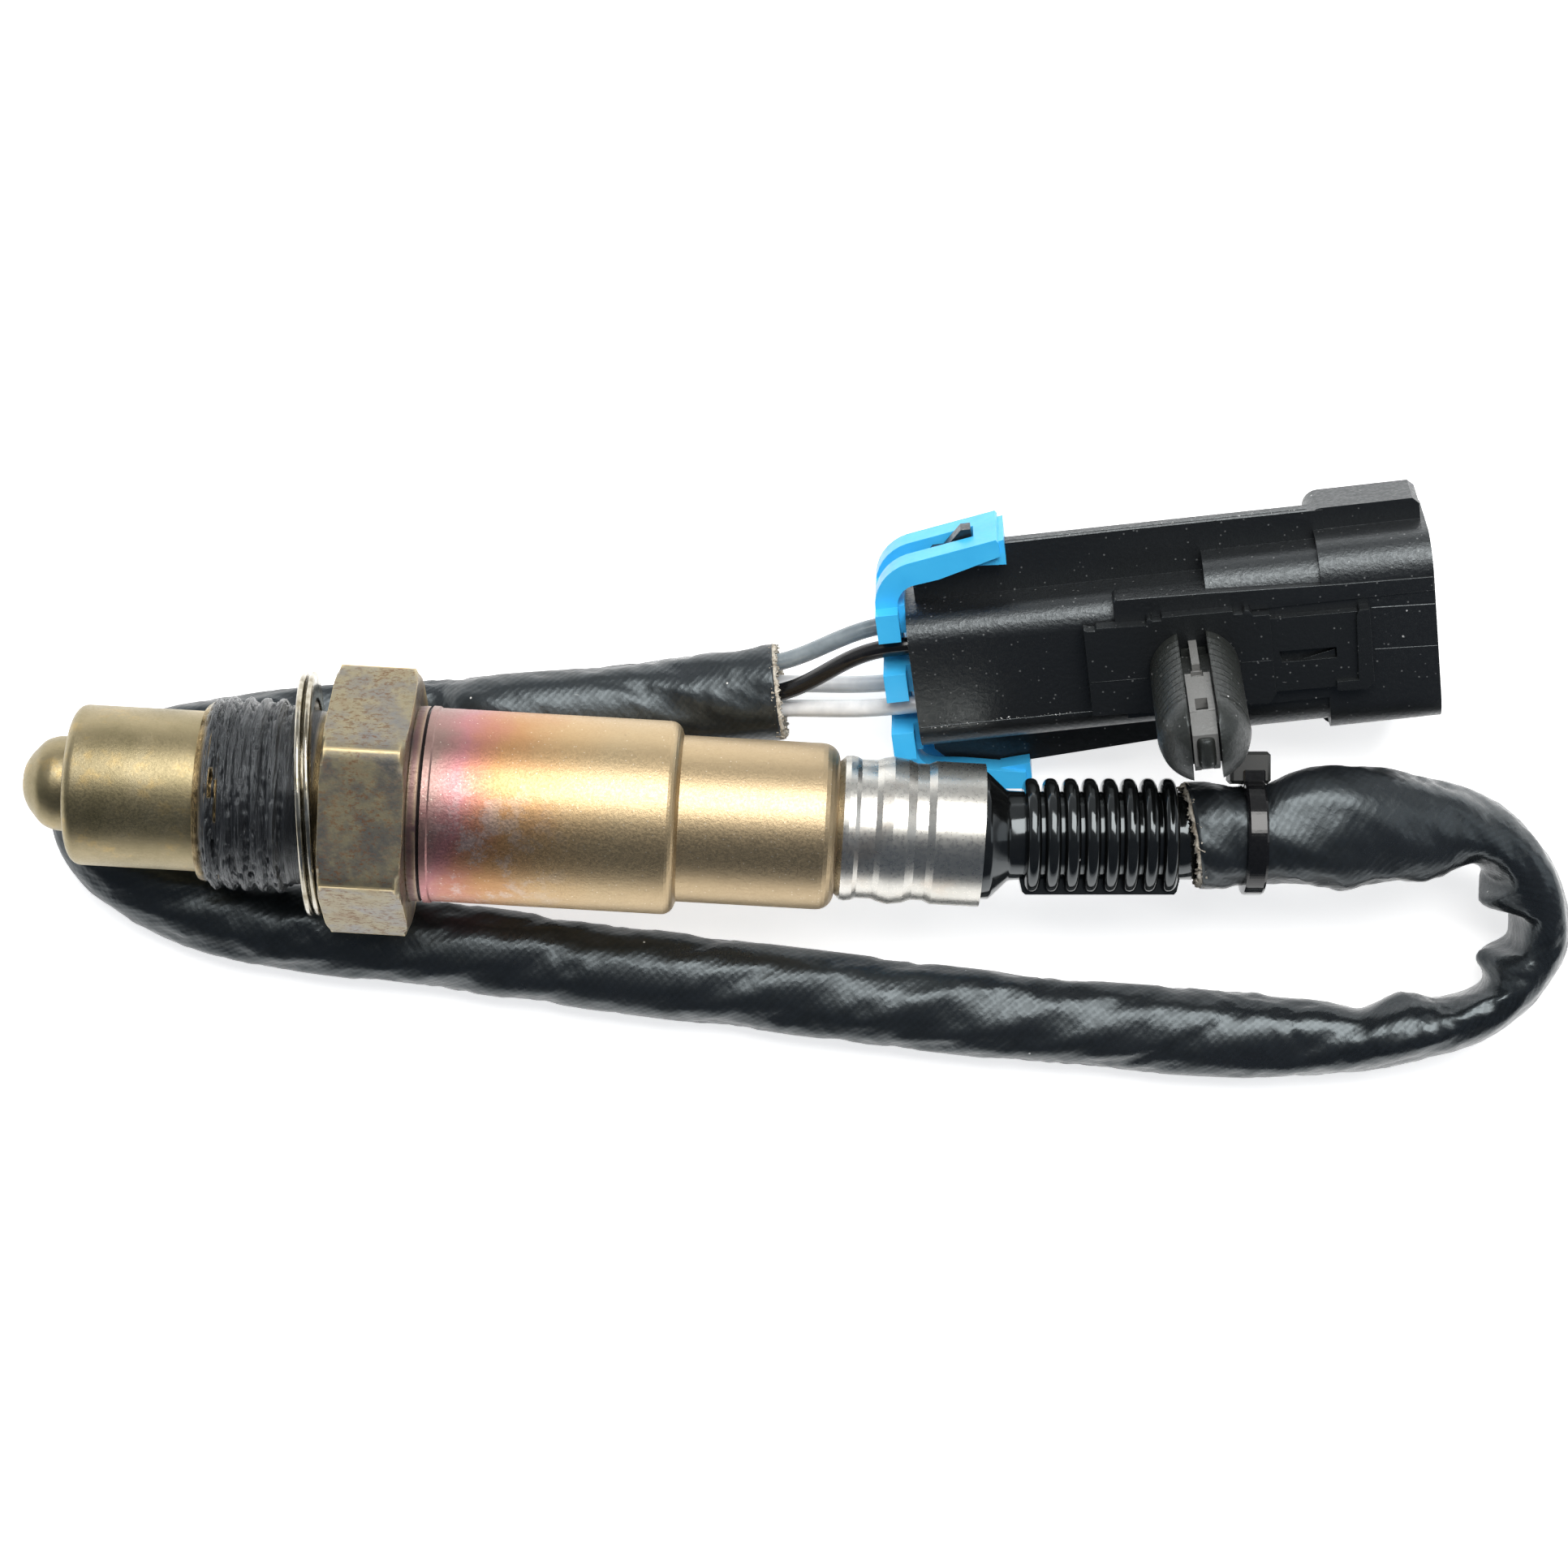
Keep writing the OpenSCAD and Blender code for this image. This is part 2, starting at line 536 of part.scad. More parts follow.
// Side fin with the ramp that catches the lock; far is its width at the shroud
function fin_points(near, far) = [
    [0.9, conn_w / 2 - 1], [0.9, near - 2.4], [3.1, near], [u_catch - 2.7, near],
    [u_catch - 0.9, near + catch_h], [u_catch, near + catch_h], [u_catch, near],
    [u_shroud + 1, far], [u_shroud + 1, conn_w / 2 - 1]
];

// Guide lug beside the shroud with a rounded rear corner
module lug(reach) translate([0, 0, -1.5]) linear_extrude(4.4, center = true) polygon(concat(
    [[u_shroud - 0.6, shroud_w / 2 - 2]],
    arc([u_shroud + 0.9, reach - 1.5], 1.5, 180, 90),
    [[conn_l - 1, reach], [conn_l - 0.4, reach - 0.6], [conn_l - 0.4, shroud_w / 2 - 2]]));

// Foot of the clip and the groove that it slides in, c is the clearance
foot_w = 4.4;
foot_t = 1.0;
u_clip = 16;
module clip_foot(c) translate([u_plateau, -foot_w / 2 - c, shroud_t / 2 - foot_t - c])
    cube([u_clip + plate_l - 1 - u_plateau + c, foot_w + 2 * c, foot_t + 0.3 + c]);

module connector_housing() color([0.09, 0.09, 0.10]) in_connector() difference() {
    union() {
        block(0, u_mid + 1, conn_w, conn_t, 2.55);
        block(u_mid, u_shroud + 1, mid_w, conn_t + 0.2, 3.4);
        block(u_shroud, conn_l, shroud_w, shroud_t, 3.6);
        // raised flat that carries the clip
        translate([u_plateau, -5, 0]) cube([conn_l - u_plateau, 10, shroud_t / 2]);
        // fins with their catches, the lower one tapers to the shroud
        slab(fin_points(fin_w / 2, fin_w / 2 - 0.15), fin_t);
        mirror([0, 1, 0]) slab(fin_points(fin_w / 2 - 0.3, fin_w / 2 - 2.2), fin_t);
        lug(shroud_w / 2 + 2.1);
        mirror([0, 1, 0]) lug(shroud_w / 2 + 1.3);
        // lock ramp for the mating half on the far face
        translate([0, 0, -shroud_t / 2]) rotate([90, 0, 0]) linear_extrude(5, center = true)
            polygon([[u_shroud + 0.8, 1], [u_shroud + 0.8, -1.8], [u_shroud + 2.2, -1.8],
                [u_shroud + 6.5, 0.2], [u_shroud + 6.5, 1]]);
    }
    // mating cavity
    block(u_cavity, conn_l + 1, shroud_w - 2 * shroud_wall, shroud_t - 2 * shroud_wall, 2.4);
    for (s = SIDES) translate([0, s[0] * pitch_v / 2, s[1] * pitch_w / 2]) {
        rod(seal_d / 2, -1, seal_l + 1.8);
        rod(chamber_d / 2, seal_l, 26);
        translate([25, -0.75, -0.4]) cube([u_cavity - 24, 1.5, 0.8]);
    }
    clip_foot(0.1);
}

// Arm round the corner to the catch; reach is how far its end springs outward
module lock_arm(fin, reach) {
    room = 0.2;
    difference() {
        union() {
            slab(concat(
                [[-0.6, pitch_v - 1], [-lock_face, pitch_v - 1]],
                arc([lock_bend_r - lock_face, lock_bend_v], lock_bend_r, 180, 102, 8),
                [[9.1, reach + 1.7], [9.3, reach + 1.4], [9.3, reach], [3.5, 9.8]],
                arc([lock_bend_in - 0.6, lock_bend_v], lock_bend_in, 102, 180, 6)), lock_w);
            // inward hook of the end, astride the fin
            slab([[u_catch + 0.2, 10.5], [9.8, 10.3], [9.8, reach + 1.4], [u_catch + 0.2, reach + 0.9]],
                lock_w - 1.2);
        }
        // window for the catch from the corner on, and the hook's room for the fin
        translate([-4, 8.6, -lock_window / 2]) cube([u_catch + 4.2, 20, lock_window]);
        translate([u_catch, 0, -fin_t / 2 - room]) cube([4, fin + room / 4, fin_t + 2 * room]);
    }
}

// Comb over the wires with two latching arms; each arm has a window
module terminal_lock() color([0.16, 0.60, 0.90]) in_connector() {
    post_t = 2.8;
    for (k = [-1:1]) {
        translate([-lock_face, k * pitch_v - post_t / 2, -pitch_w]) cube([lock_face - 0.6, post_t, 2 * pitch_w]);
        translate([-1.6, k * pitch_v - post_t / 2, -3.2]) cube([1.6, post_t, 6.4]);
    }
    translate([-lock_face, -pitch_v, -0.75]) cube([lock_face - 0.6, 2 * pitch_v, 1.5]);
    lock_arm(fin_w / 2, 11.4);
    mirror([0, 1, 0]) lock_arm(fin_w / 2 - 0.3, 11.0);
}

// Slide plate with a tongue and the ribbed stem
module mounting_clip() color([0.08, 0.08, 0.08]) in_connector() {
    seat = shroud_t / 2;
    u_stem = u_clip + 9.9;
    difference() {
        union() {
            translate([u_clip, -plate_w / 2, seat]) cube([plate_l, plate_w, plate_t]);
            clip_foot(0);
        }
        // narrower tongue end, its window and the tongue's slot
        translate([u_clip + 15.8, plate_w / 2 - 1, seat - 1])
            cube([plate_l, 2, plate_t + 2]);
        translate([u_clip + 17.3, -0.9, seat - 2]) cube([5.6, 1.5, plate_t + 3]);
        translate([u_clip + 17.3, -plate_w / 2 - 1, seat + plate_t - 0.5])
            cube([5.9, plate_w / 2 + 0.4, 2]);
        for (u = [0.4, 5.9, 14.4, 24.4]) translate([u_clip + u + 0.3, plate_w / 2 - 0.3, seat])
            cylinder(d = 1.3, h = 3 * plate_t, $fn = 24);
    }
    translate([u_stem, 0, seat + plate_t]) stem();
}

// Ribbed stem split into two springy shells round a web
module stem() {
    nose = stem_d / 2;
    ribbed = stem_l - nose;
    pitch = ribbed / stem_ribs;
    difference() {
        rotate_extrude() polygon(concat(
            [[0, -0.2], [stem_d / 2 - 0.35, -0.2]],
            [for (k = [0:stem_ribs - 1]) each [
                [stem_d / 2 - 0.35, k * pitch], [stem_d / 2, k * pitch + 0.35],
                [stem_d / 2, k * pitch + 0.55], [stem_d / 2 - 0.35, (k + 1) * pitch - 0.1]]],
            arc([0, ribbed], nose, 0, 68, 8), [[0, stem_l - 0.3]]));
        // gaps between the shells and the web, open to both sides
        for (s = [-1, 1]) scale([s, 1, 1]) translate([1.15, -stem_d, 0.6])
            cube([0.4, 2 * stem_d, ribbed - 0.6]);
        // web set back inside the shells, with its hollows
        for (s = [-1, 1]) scale([1, s, 1]) {
            translate([-1.2, stem_d / 2 - 1.3, 0]) cube([2.4, 3, ribbed]);
            translate([-0.6, stem_d / 2 - 2.4, 1]) cube([1.2, 3, 5.6]);
            translate([-0.6, stem_d / 2 - 2.4, 9.4]) cube([1.2, 3, 1.8]);
        }
        translate([-1.25, -stem_d, stem_l - 1.0]) cube([2.5, 2 * stem_d, 2]);
    }
}

// Blade with its body and crimp barrel
module terminal(i) color([0.80, 0.76, 0.62]) {
    s = SIDES[i - 1];
    in_connector() translate([0, s[0] * pitch_v / 2, s[1] * pitch_w / 2]) {
        rod(1.1, seal_l + 2.6, 14);
        translate([14, -1.1, -1.1]) cube([12, 2.2, 2.2]);
        translate([26, -0.75, -0.4]) cube([15, 1.5, 0.8]);
    }
}

// Seal with two lips round its wire
module wire_seal(i) color([0.55, 0.25, 0.18]) {
    s = SIDES[i - 1];
    in_connector() translate([0, s[0] * pitch_v / 2, s[1] * pitch_w / 2]) difference() {
        turned([
            [0, 1], [seal_d / 2 - 0.3, 1], [seal_d / 2, 1.8], [seal_d / 2 - 0.3, 2.6],
            [seal_d / 2 - 0.3, 3.4], [seal_d / 2, 4.2], [seal_d / 2 - 0.3, 5],
            [seal_d / 2 - 0.3, seal_l], [0, seal_l]
        ]);
        rod(wire_r + wire_play, 0, seal_l + 1);
    }
}

inner_protection_tube();
outer_protection_tube();
sensor_shell();
gasket_ring();
sensing_element();
lower_insulator();
talc_ring();
upper_insulator();
contact_holder();
contact_spring(1);  // contact_spring_1
contact_spring(2);  // contact_spring_2
contact_spring(3);  // contact_spring_3
contact_spring(4);  // contact_spring_4
protective_sleeve();
crimp_sleeve();
grommet();
rubber_boot();
braided_sleeve();
cable_tie();
wire_black();
wire_grey();
wire_white_a();
wire_white_b();
connector_housing();
terminal_lock();
mounting_clip();
terminal(1);  // terminal_1
terminal(2);  // terminal_2
terminal(3);  // terminal_3
terminal(4);  // terminal_4
wire_seal(1);  // wire_seal_1
wire_seal(2);  // wire_seal_2
wire_seal(3);  // wire_seal_3
wire_seal(4);  // wire_seal_4
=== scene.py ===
"""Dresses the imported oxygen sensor: cable, threaded shell, gasket, tie, wires, plug and their materials."""
import math
import random

import bmesh
import bpy
from mathutils import Matrix, Vector, noise
from mathutils.geometry import tessellate_polygon


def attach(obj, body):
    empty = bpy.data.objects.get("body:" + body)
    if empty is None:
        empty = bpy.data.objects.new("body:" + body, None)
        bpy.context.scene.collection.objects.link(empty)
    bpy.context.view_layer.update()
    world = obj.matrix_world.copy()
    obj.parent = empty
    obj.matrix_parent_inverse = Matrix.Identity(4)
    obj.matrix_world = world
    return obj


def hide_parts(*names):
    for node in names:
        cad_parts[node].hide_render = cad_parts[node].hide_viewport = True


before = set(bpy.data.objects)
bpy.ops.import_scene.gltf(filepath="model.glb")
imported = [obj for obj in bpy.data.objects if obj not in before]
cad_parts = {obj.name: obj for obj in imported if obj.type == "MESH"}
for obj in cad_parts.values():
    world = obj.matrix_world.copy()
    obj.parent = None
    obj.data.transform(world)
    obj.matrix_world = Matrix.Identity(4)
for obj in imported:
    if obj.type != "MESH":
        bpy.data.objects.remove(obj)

bl_info = {
    "name": "Oxygen Sensor Dresser",
    "version": (1, 0, 0),
    "blender": (4, 5, 0),
    "location": "View3D > Sidebar > Sensor",
    "description": "Builds the visual model of an oxygen sensor round its CAD frame",
    "category": "Object",
}

MM = 0.001
REST_Z = -14.8  # height of the surface that the part lies on
BOOT_LEAN = math.radians(3.25)
CRIMP_END = 60.0
S_BOOT_END, S_TIE = 19.46, 24.97  # along the boot's axis, behind the crimp
PHOTO_SIZE, PHOTO_SCALE = 1932, 13.33  # pixels, and pixels a mm in the plane of the sensor's axis
CAMERA_HEIGHT, CAMERA_AIM = 330, (41.64, 1.35)
CABLE_SIDES = 56
COOL = (.88, .96, 1, 1)  # tint of the gloss on black plastic and rubber
FLASH = 9.0  # in a piece's own map, marks what the mould left pale

# Cable route in mm: x, y, z, width across, height
ROUTE = [
    (91, 2.6, .1, 11.2, 9.2), (95.5, 3.2, -.6, 10.8, 9), (99.9, 3.1, -2, 9.6, 9), (104.2, 2.9, -3.6, 8.4, 9.4),
    (108.3, 1.4, -5.2, 7.6, 9.8), (111.9, -1.4, -6.8, 5.8, 10.4), (113.6, -5.1, -8.2, 5.4, 10.6),
    (113.4, -8.4, -9.1, 5.4, 10.6), (111.3, -11.7, -9.5, 5.4, 10.6), (108.3, -14.2, -9.6, 5.4, 10.4),
    (105.2, -15.7, -9.8, 5.4, 10), (102, -16.6, -10, 5.6, 9.6), (98.4, -17.4, -10.4, 6.2, 8.8),
    (92, -17.7, -10.9, 7.7, 7.8), (84, -17.7, -11.1, 8.4, 7.4), (73.5, -17.6, -11.1, 8.4, 7.4),
    (63.5, -17.2, -11.1, 8.4, 7.4), (54.5, -16.7, -11.1, 8.4, 7.4), (45.5, -16.1, -11.1, 8.4, 7.4),
    (37.5, -15.6, -11.1, 8.4, 7.4), (23.5, -14.6, -11.1, 8.4, 7.4), (11, -13.6, -11.1, 8.4, 7.4),
    (-1.5, -12.8, -11.1, 8.4, 7.4), (-9.5, -11.9, -11.1, 8.4, 7.4), (-16, -10.2, -11.1, 8.4, 7.4),
    (-21.3, -7.2, -11.2, 8.4, 7.2), (-24, -3, -11.2, 8.4, 7.2), (-21.8, 1.4, -11.2, 8.4, 7.2),
    (-16.1, 3.8, -11.2, 8.4, 7.2), (-10.5, 5.1, -11.9, 8.4, 5.8), (-5.5, 6, -12.5, 8.6, 4.6),
    (-.5, 6.6, -12.7, 8.8, 4.2), (4.5, 7.2, -12.7, 8.8, 4.2), (9, 7.7, -12.6, 8.7, 4.4), (12.5, 8.2, -11.3, 8.5, 7),
    (16.5, 8.8, -11.1, 8.4, 7.4), (22, 9.5, -11.1, 8.4, 7.4), (28.2, 10.5, -11.1, 8.4, 7.4),
    (34.4, 11.5, -10.8, 8.8, 8), (40.4, 12.5, -10.4, 9.4, 8.8),
]
# Creased inner wall of the tight bend in mm, from the top run round to the lower run
INNER_EDGE = [
    (84.4, -3.0), (89.5, -3.15), (91.9, -3.1), (93.4, -3.3), (95.5, -2.75), (98.2, -2.35), (100.55, -2.4),
    (102.0, -1.9), (103.4, -.9), (104.9, -.1), (106.1, .0), (107.3, -.45), (108.1, -1.1), (108.55, -1.75),
    (108.3, -2.5),
    (107.75, -3.1), (107.6, -3.6), (107.95, -4.0), (108.7, -4.1), (109.6, -4.0), (110.6, -3.95), (111.0, -4.4),
    (111.05, -5.6), (111.0, -6.8), (110.75, -7.5), (110.0, -7.75), (108.9, -7.9), (108.15, -8.2), (107.9, -8.75),
    (108.1, -9.4), (108.6, -10.1), (108.85, -10.9), (108.4, -11.6), (107.2, -12.3), (105.6, -12.75), (104.0, -12.95),
    (102.6, -12.6), (101.3, -12.65), (100.2, -13.1), (99.2, -13.7), (98.2, -14.25), (97.2, -14.5), (95.8, -14.3),
    (93.5, -13.95), (90.0, -13.75), (87.0, -13.45), (84.0, -13.55),
]
# Places on the centreline and on the inner edge that face each other, in mm
FACING = [
    ((84.4, 1.4), (84.4, -3.0)), ((100.2, 3.1), (100.55, -2.4)), ((110.3, -.2), (108.3, -2.5)),
    ((113.65, -5.6), (111.05, -5.6)), ((112.9, -9.4), (107.9, -8.75)), ((107.6, -14.6), (104.0, -12.95)),
    ((101.6, -16.65), (101.3, -12.65)), ((84.0, -17.7), (84.0, -13.55)),
]
PLUG_ORIGIN = Vector((53.1, 15.8, -6.45))
PLUG_TURN = (
    Matrix.Rotation(math.radians(9.25), 3, "Z")
    @ Matrix.Rotation(math.radians(-5.5), 3, "Y")
    @ Matrix.Rotation(math.radians(27), 3, "X")
)
# Where each wire leaves the cable sleeve, in mm, and its corner of the plug
WIRES = {
    "wire_black": ((40.8, 12.4, -8.0), (1, 1)),
    "wire_grey": ((40.2, 15.2, -9.2), (1, -1)),
    "wire_white_a": ((41.1, 10.9, -9.7), (-1, 1)),
    "wire_white_b": ((40.6, 13.3, -11.8), (-1, -1)),
}
# Darkest and lightest tone of each coloured piece
TONES = {
    "cable": ("Cable Sleeve", (.003, .0038, .0046), (.011, .0135, .016)),
    "boot": ("Boot", (.0028, .003, .003), (.007, .0075, .0075)),
    "tie": ("Tie", (.003, .003, .0035), (.009, .009, .010)),
    "housing": ("Plug Housing", (.0035, .0038, .0042), (.010, .0105, .0115)),
    "clip": ("Clip Plate", (.0045, .005, .0055), (.012, .013, .014)),
    "stem": ("Clip Stem", (.012, .013, .012), (.028, .030, .027)),
    "lock": ("Lock", (.046, .47, .90), (.066, .55, .98)),
    "wire_black": ("Black Wire", (.004, .004, .005), (.012, .012, .013)),
    "wire_grey": ("Grey Wire", (.17, .20, .22), (.27, .31, .33)),
    "wire_white": ("White Wires", (.70, .71, .72), (.88, .88, .88)),
}


# ---- sizes and colours that a user can change ----

def length(name, default, description):
    """Length property whose default is given in mm."""
    return bpy.props.FloatProperty(
        name=name, default=default * MM, min=0.0, precision=5, unit="LENGTH", description=description)


def colour(name, default, description):
    return bpy.props.FloatVectorProperty(
        name=name, default=default, size=3, min=0.0, max=1.0, subtype="COLOR", description=description)


class SensorSizes(bpy.types.PropertyGroup):
    """Sizes of the pieces that are built here"""
    cable_tied: length("Cable Under Tie", 9.3, "Width of the cable sleeve under the tie")
    yarn_pitch: length("Yarn Pitch", 0.82, "Distance from yarn to yarn along the cable sleeve")
    yarns_around: bpy.props.IntProperty(
        name="Yarns Around", default=31, min=1, description="Number of yarns round the cable sleeve")
    wire_width: length("Wire Diameter", 1.644, "Outside diameter of the wires between the cable sleeve and the plug")
    tie_width: length("Tie Width", 2.0, "Width of the tie's strap")
    stem_ribs: bpy.props.IntProperty(
        name="Stem Ribs", default=11, min=1, description="Number of ribs along the clip's stem")
    thread_pitch: length("Thread Pitch", 1.5, "Distance from crest to crest of the thread")
    thread_depth: length("Thread Depth", 0.86, "Depth of the thread's turns where no paste fills them")
    hexagon_across: length("Hexagon", 22.0, "Width of the hexagon across its flats")
    gasket_width: length("Gasket Diameter", 22.6, "Outside diameter of the folded gasket")
    gasket_lean: bpy.props.FloatProperty(
        name="Gasket Lean", default=math.radians(4.6), subtype="ANGLE", description="Lean of the loose gasket")
    tip_reach: length("Tip Reach", 28.64, "Reach of the tip's cap in front of the hexagon")
    rib_count: bpy.props.IntProperty(name="Boot Ribs", default=8, min=1, description="Number of ribs of the boot")
    rib_pitch: length("Boot Rib Pitch", 1.80, "Distance from rib to rib of the boot")
    rib_height: length("Boot Rib Height", 1.22, "Height of the boot's ribs above its neck")


class SensorColours(bpy.types.PropertyGroup):
    """Darkest and lightest tone of each coloured piece"""
    __annotations__ = {
        f"{key}_{end}": colour(f"{name} {end.title()}", tone, f"{word} tone of this piece")
        for key, (name, *pair) in TONES.items()
        for end, word, tone in zip(("dark", "light"), ("Darkest", "Lightest"), pair)
    }


class SensorStage(bpy.types.PropertyGroup):
    """Lights and floor of the stage"""
    key_power: bpy.props.FloatProperty(
        name="Key Power", default=10.3, min=0.0, unit="POWER", description="Power of the overhead soft light")
    fill_power: bpy.props.FloatProperty(
        name="Fill Power", default=0.5, min=0.0, unit="POWER", description="Mean power of the two side lights")
    world_strength: bpy.props.FloatProperty(
        name="World", default=1.0, min=0.0, max=2.0, description="Strength of the even surrounding light")
    floor_glow: bpy.props.FloatProperty(
        name="Floor Glow", default=0.70, min=0.0, max=1.0,
        description="Light that the camera and metal see in the floor, besides what falls on it")


def size(name):
    """A number of the panel as it is."""
    return getattr(bpy.context.scene.sensor_sizes, name)


def mm(name):
    """A length of the panel, in mm."""
    return size(name) / MM


def tones(key):
    """Darkest and lightest tone of a piece."""
    colours = bpy.context.scene.sensor_colours
    return tuple(getattr(colours, f"{key}_dark")), tuple(getattr(colours, f"{key}_light"))


# ---- geometry helpers ----

def boot_point(s, w=0.0, h=0.0):
    """Point on the leaning boot's axis, s mm behind the crimp, w across and h up."""
    c, n = math.cos(BOOT_LEAN), math.sin(BOOT_LEAN)
    return Vector((CRIMP_END + s * c - w * n, s * n + w * c, h))


def plug_point(u, v, w):
    """Point in the leaning plug's own frame: u along it, v across and w up."""
    return PLUG_ORIGIN + PLUG_TURN @ Vector((u, v, w))


def catmull(points, steps):
    """Smooth curve through rows of numbers, steps a span."""
    out = []
    for i in range(len(points) - 1):
        a, b, c, d = (points[max(0, i - 1)], points[i], points[i + 1], points[min(len(points) - 1, i + 2)])
        for k in range(steps):
            t = k / steps
            out.append([
                0.5 * (2 * q + (r - p) * t + (2 * p - 5 * q + 4 * r - s) * t * t + (3 * q - p - 3 * r + s) * t ** 3)
                for p, q, r, s in zip(a, b, c, d)
            ])
    out.append(list(points[-1]))
    return out


def even(points, step):
    """The same curve with a point every step mm."""
    out, left = [list(points[0])], step
    for a, b in zip(points, points[1:]):
        gap = math.dist(a[:3], b[:3])
        while gap > 0 and left <= gap:
            out.append([p + (q - p) * left / gap for p, q in zip(a, b)])
            left += step
        left -= gap
    if math.dist(out[-1][:3], points[-1][:3]) > step * 0.4:
        out.append(list(points[-1]))
    return out


def tangent(points, i):
    """Direction of a line of points at one of them."""
    return (points[min(i + 1, len(points) - 1)] - points[max(i - 1, 0)]).normalized()


def runs(points):
    """Distance along a line of points, up to each of them."""
    out = [0.0]
    for a, b in zip(points, points[1:]):
        out.append(out[-1] + (b - a).length)
    return out


def add_to_scene(name, data):
    obj = bpy.data.objects.new(name, data)
    bpy.context.scene.collection.objects.link(obj)
    return obj


def add_object(name, verts, faces, uvs=None, smooth=True):
    """Mesh object from points in mm; uvs has one (u, v) a vertex."""
    mesh = bpy.data.meshes.new(name)
    mesh.from_pydata([Vector(v) * MM for v in verts], [], faces)
    mesh.validate()
    if uvs:
        layer = mesh.uv_layers.new(name="Flow")
        for loop in mesh.loops:
            layer.data[loop.index].uv = uvs[loop.vertex_index]
    mesh.polygons.foreach_set("use_smooth", [smooth] * len(mesh.polygons))
    mesh.update()
    return add_to_scene(name, mesh)


def bands(rings, sides):
    """Faces between closed rings of points."""
    return [
        (j * sides + k, j * sides + (k + 1) % sides, (j + 1) * sides + (k + 1) % sides, (j + 1) * sides + k)
        for j in range(rings - 1) for k in range(sides)
    ]


def lids(rings, sides):
    """Faces that close the first and the last ring."""
    return [tuple(range(sides - 1, -1, -1)), tuple((rings - 1) * sides + k for k in range(sides))]


def tube(path, radius, sides=14, caps=True):
    """Verts, faces and uvs of a round tube along points in mm; radius is a number or a function of 0..1."""
    pts = [Vector(p[:3]) for p in path]
    side = tangent(pts, 0).orthogonal().normalized()
    verts, uvs = [], []
    for i, (p, run) in enumerate(zip(pts, runs(pts))):
        t = tangent(pts, i)
        side = (side - t * side.dot(t)).normalized()
        other = t.cross(side)
        r = radius(i / (len(pts) - 1)) if callable(radius) else radius
        for k in range(sides):
            a = math.tau * k / sides
            verts.append(p + (side * math.cos(a) + other * math.sin(a)) * r)
            uvs.append((run, k / sides))
    return verts, bands(len(pts), sides) + (lids(len(pts), sides) if caps else []), uvs


def merge(parts):
    """One verts, faces, uvs list from several."""
    verts, faces, uvs = [], [], []
    for v, f, u in parts:
        base = len(verts)
        verts += v
        faces += [tuple(i + base for i in face) for face in f]
        uvs += u
    return verts, faces, uvs


def lathe(profile, sides, wobble=None):
    """Surface turned round the X axis from (x, r) rows; wobble(x, r, angle) returns a new (x, r)."""
    verts, uvs = [], []
    for x, r in profile:
        for k in range(sides):
            a = math.tau * k / sides
            px, pr = wobble(x, r, a) if wobble else (x, r)
            verts.append(Vector((px, pr * math.cos(a), pr * math.sin(a))))
            uvs.append((px, k / sides))
    return verts, bands(len(profile), sides), uvs


def settle(obj, look, slot, *nodes):
    """Finish, slot, body and the CAD nodes that the piece stands for. The slot is not used."""
    obj.data.materials.clear()
    obj.data.materials.append(bpy.data.materials["Sensor." + look])
    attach(obj, "root")
    if nodes:
        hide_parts(*nodes)
    return obj


def split_edges(obj, degrees):
    """Crisp edges where faces meet at more than an angle."""
    obj.modifiers.new("Edges", "EDGE_SPLIT").split_angle = math.radians(degrees)
    return obj


def rounded(obj, width, segments=2, degrees=30.0):
    """Edges rounded by width mm, and weighted normals."""
    bevel = obj.modifiers.new("Edges", "BEVEL")
    bevel.width, bevel.segments = width * MM, segments
    bevel.limit_method, bevel.angle_limit = "ANGLE", math.radians(degrees)
    obj.modifiers.new("Normals", "WEIGHTED_NORMAL").keep_sharp = False
    return obj


def cad_copy(node, name, change):
    """Copy of a CAD node's mesh that change(bm) reworks."""
    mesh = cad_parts[node].data.copy()
    mesh.name = name
    bm = bmesh.new()
    bm.from_mesh(mesh)
    bmesh.ops.remove_doubles(bm, verts=bm.verts, dist=2e-6)
    change(bm)
    bm.to_mesh(mesh)
    bm.free()
    mesh.polygons.foreach_set("use_smooth", [True] * len(mesh.polygons))
    return add_to_scene(name, mesh)


# ---- node groups ----

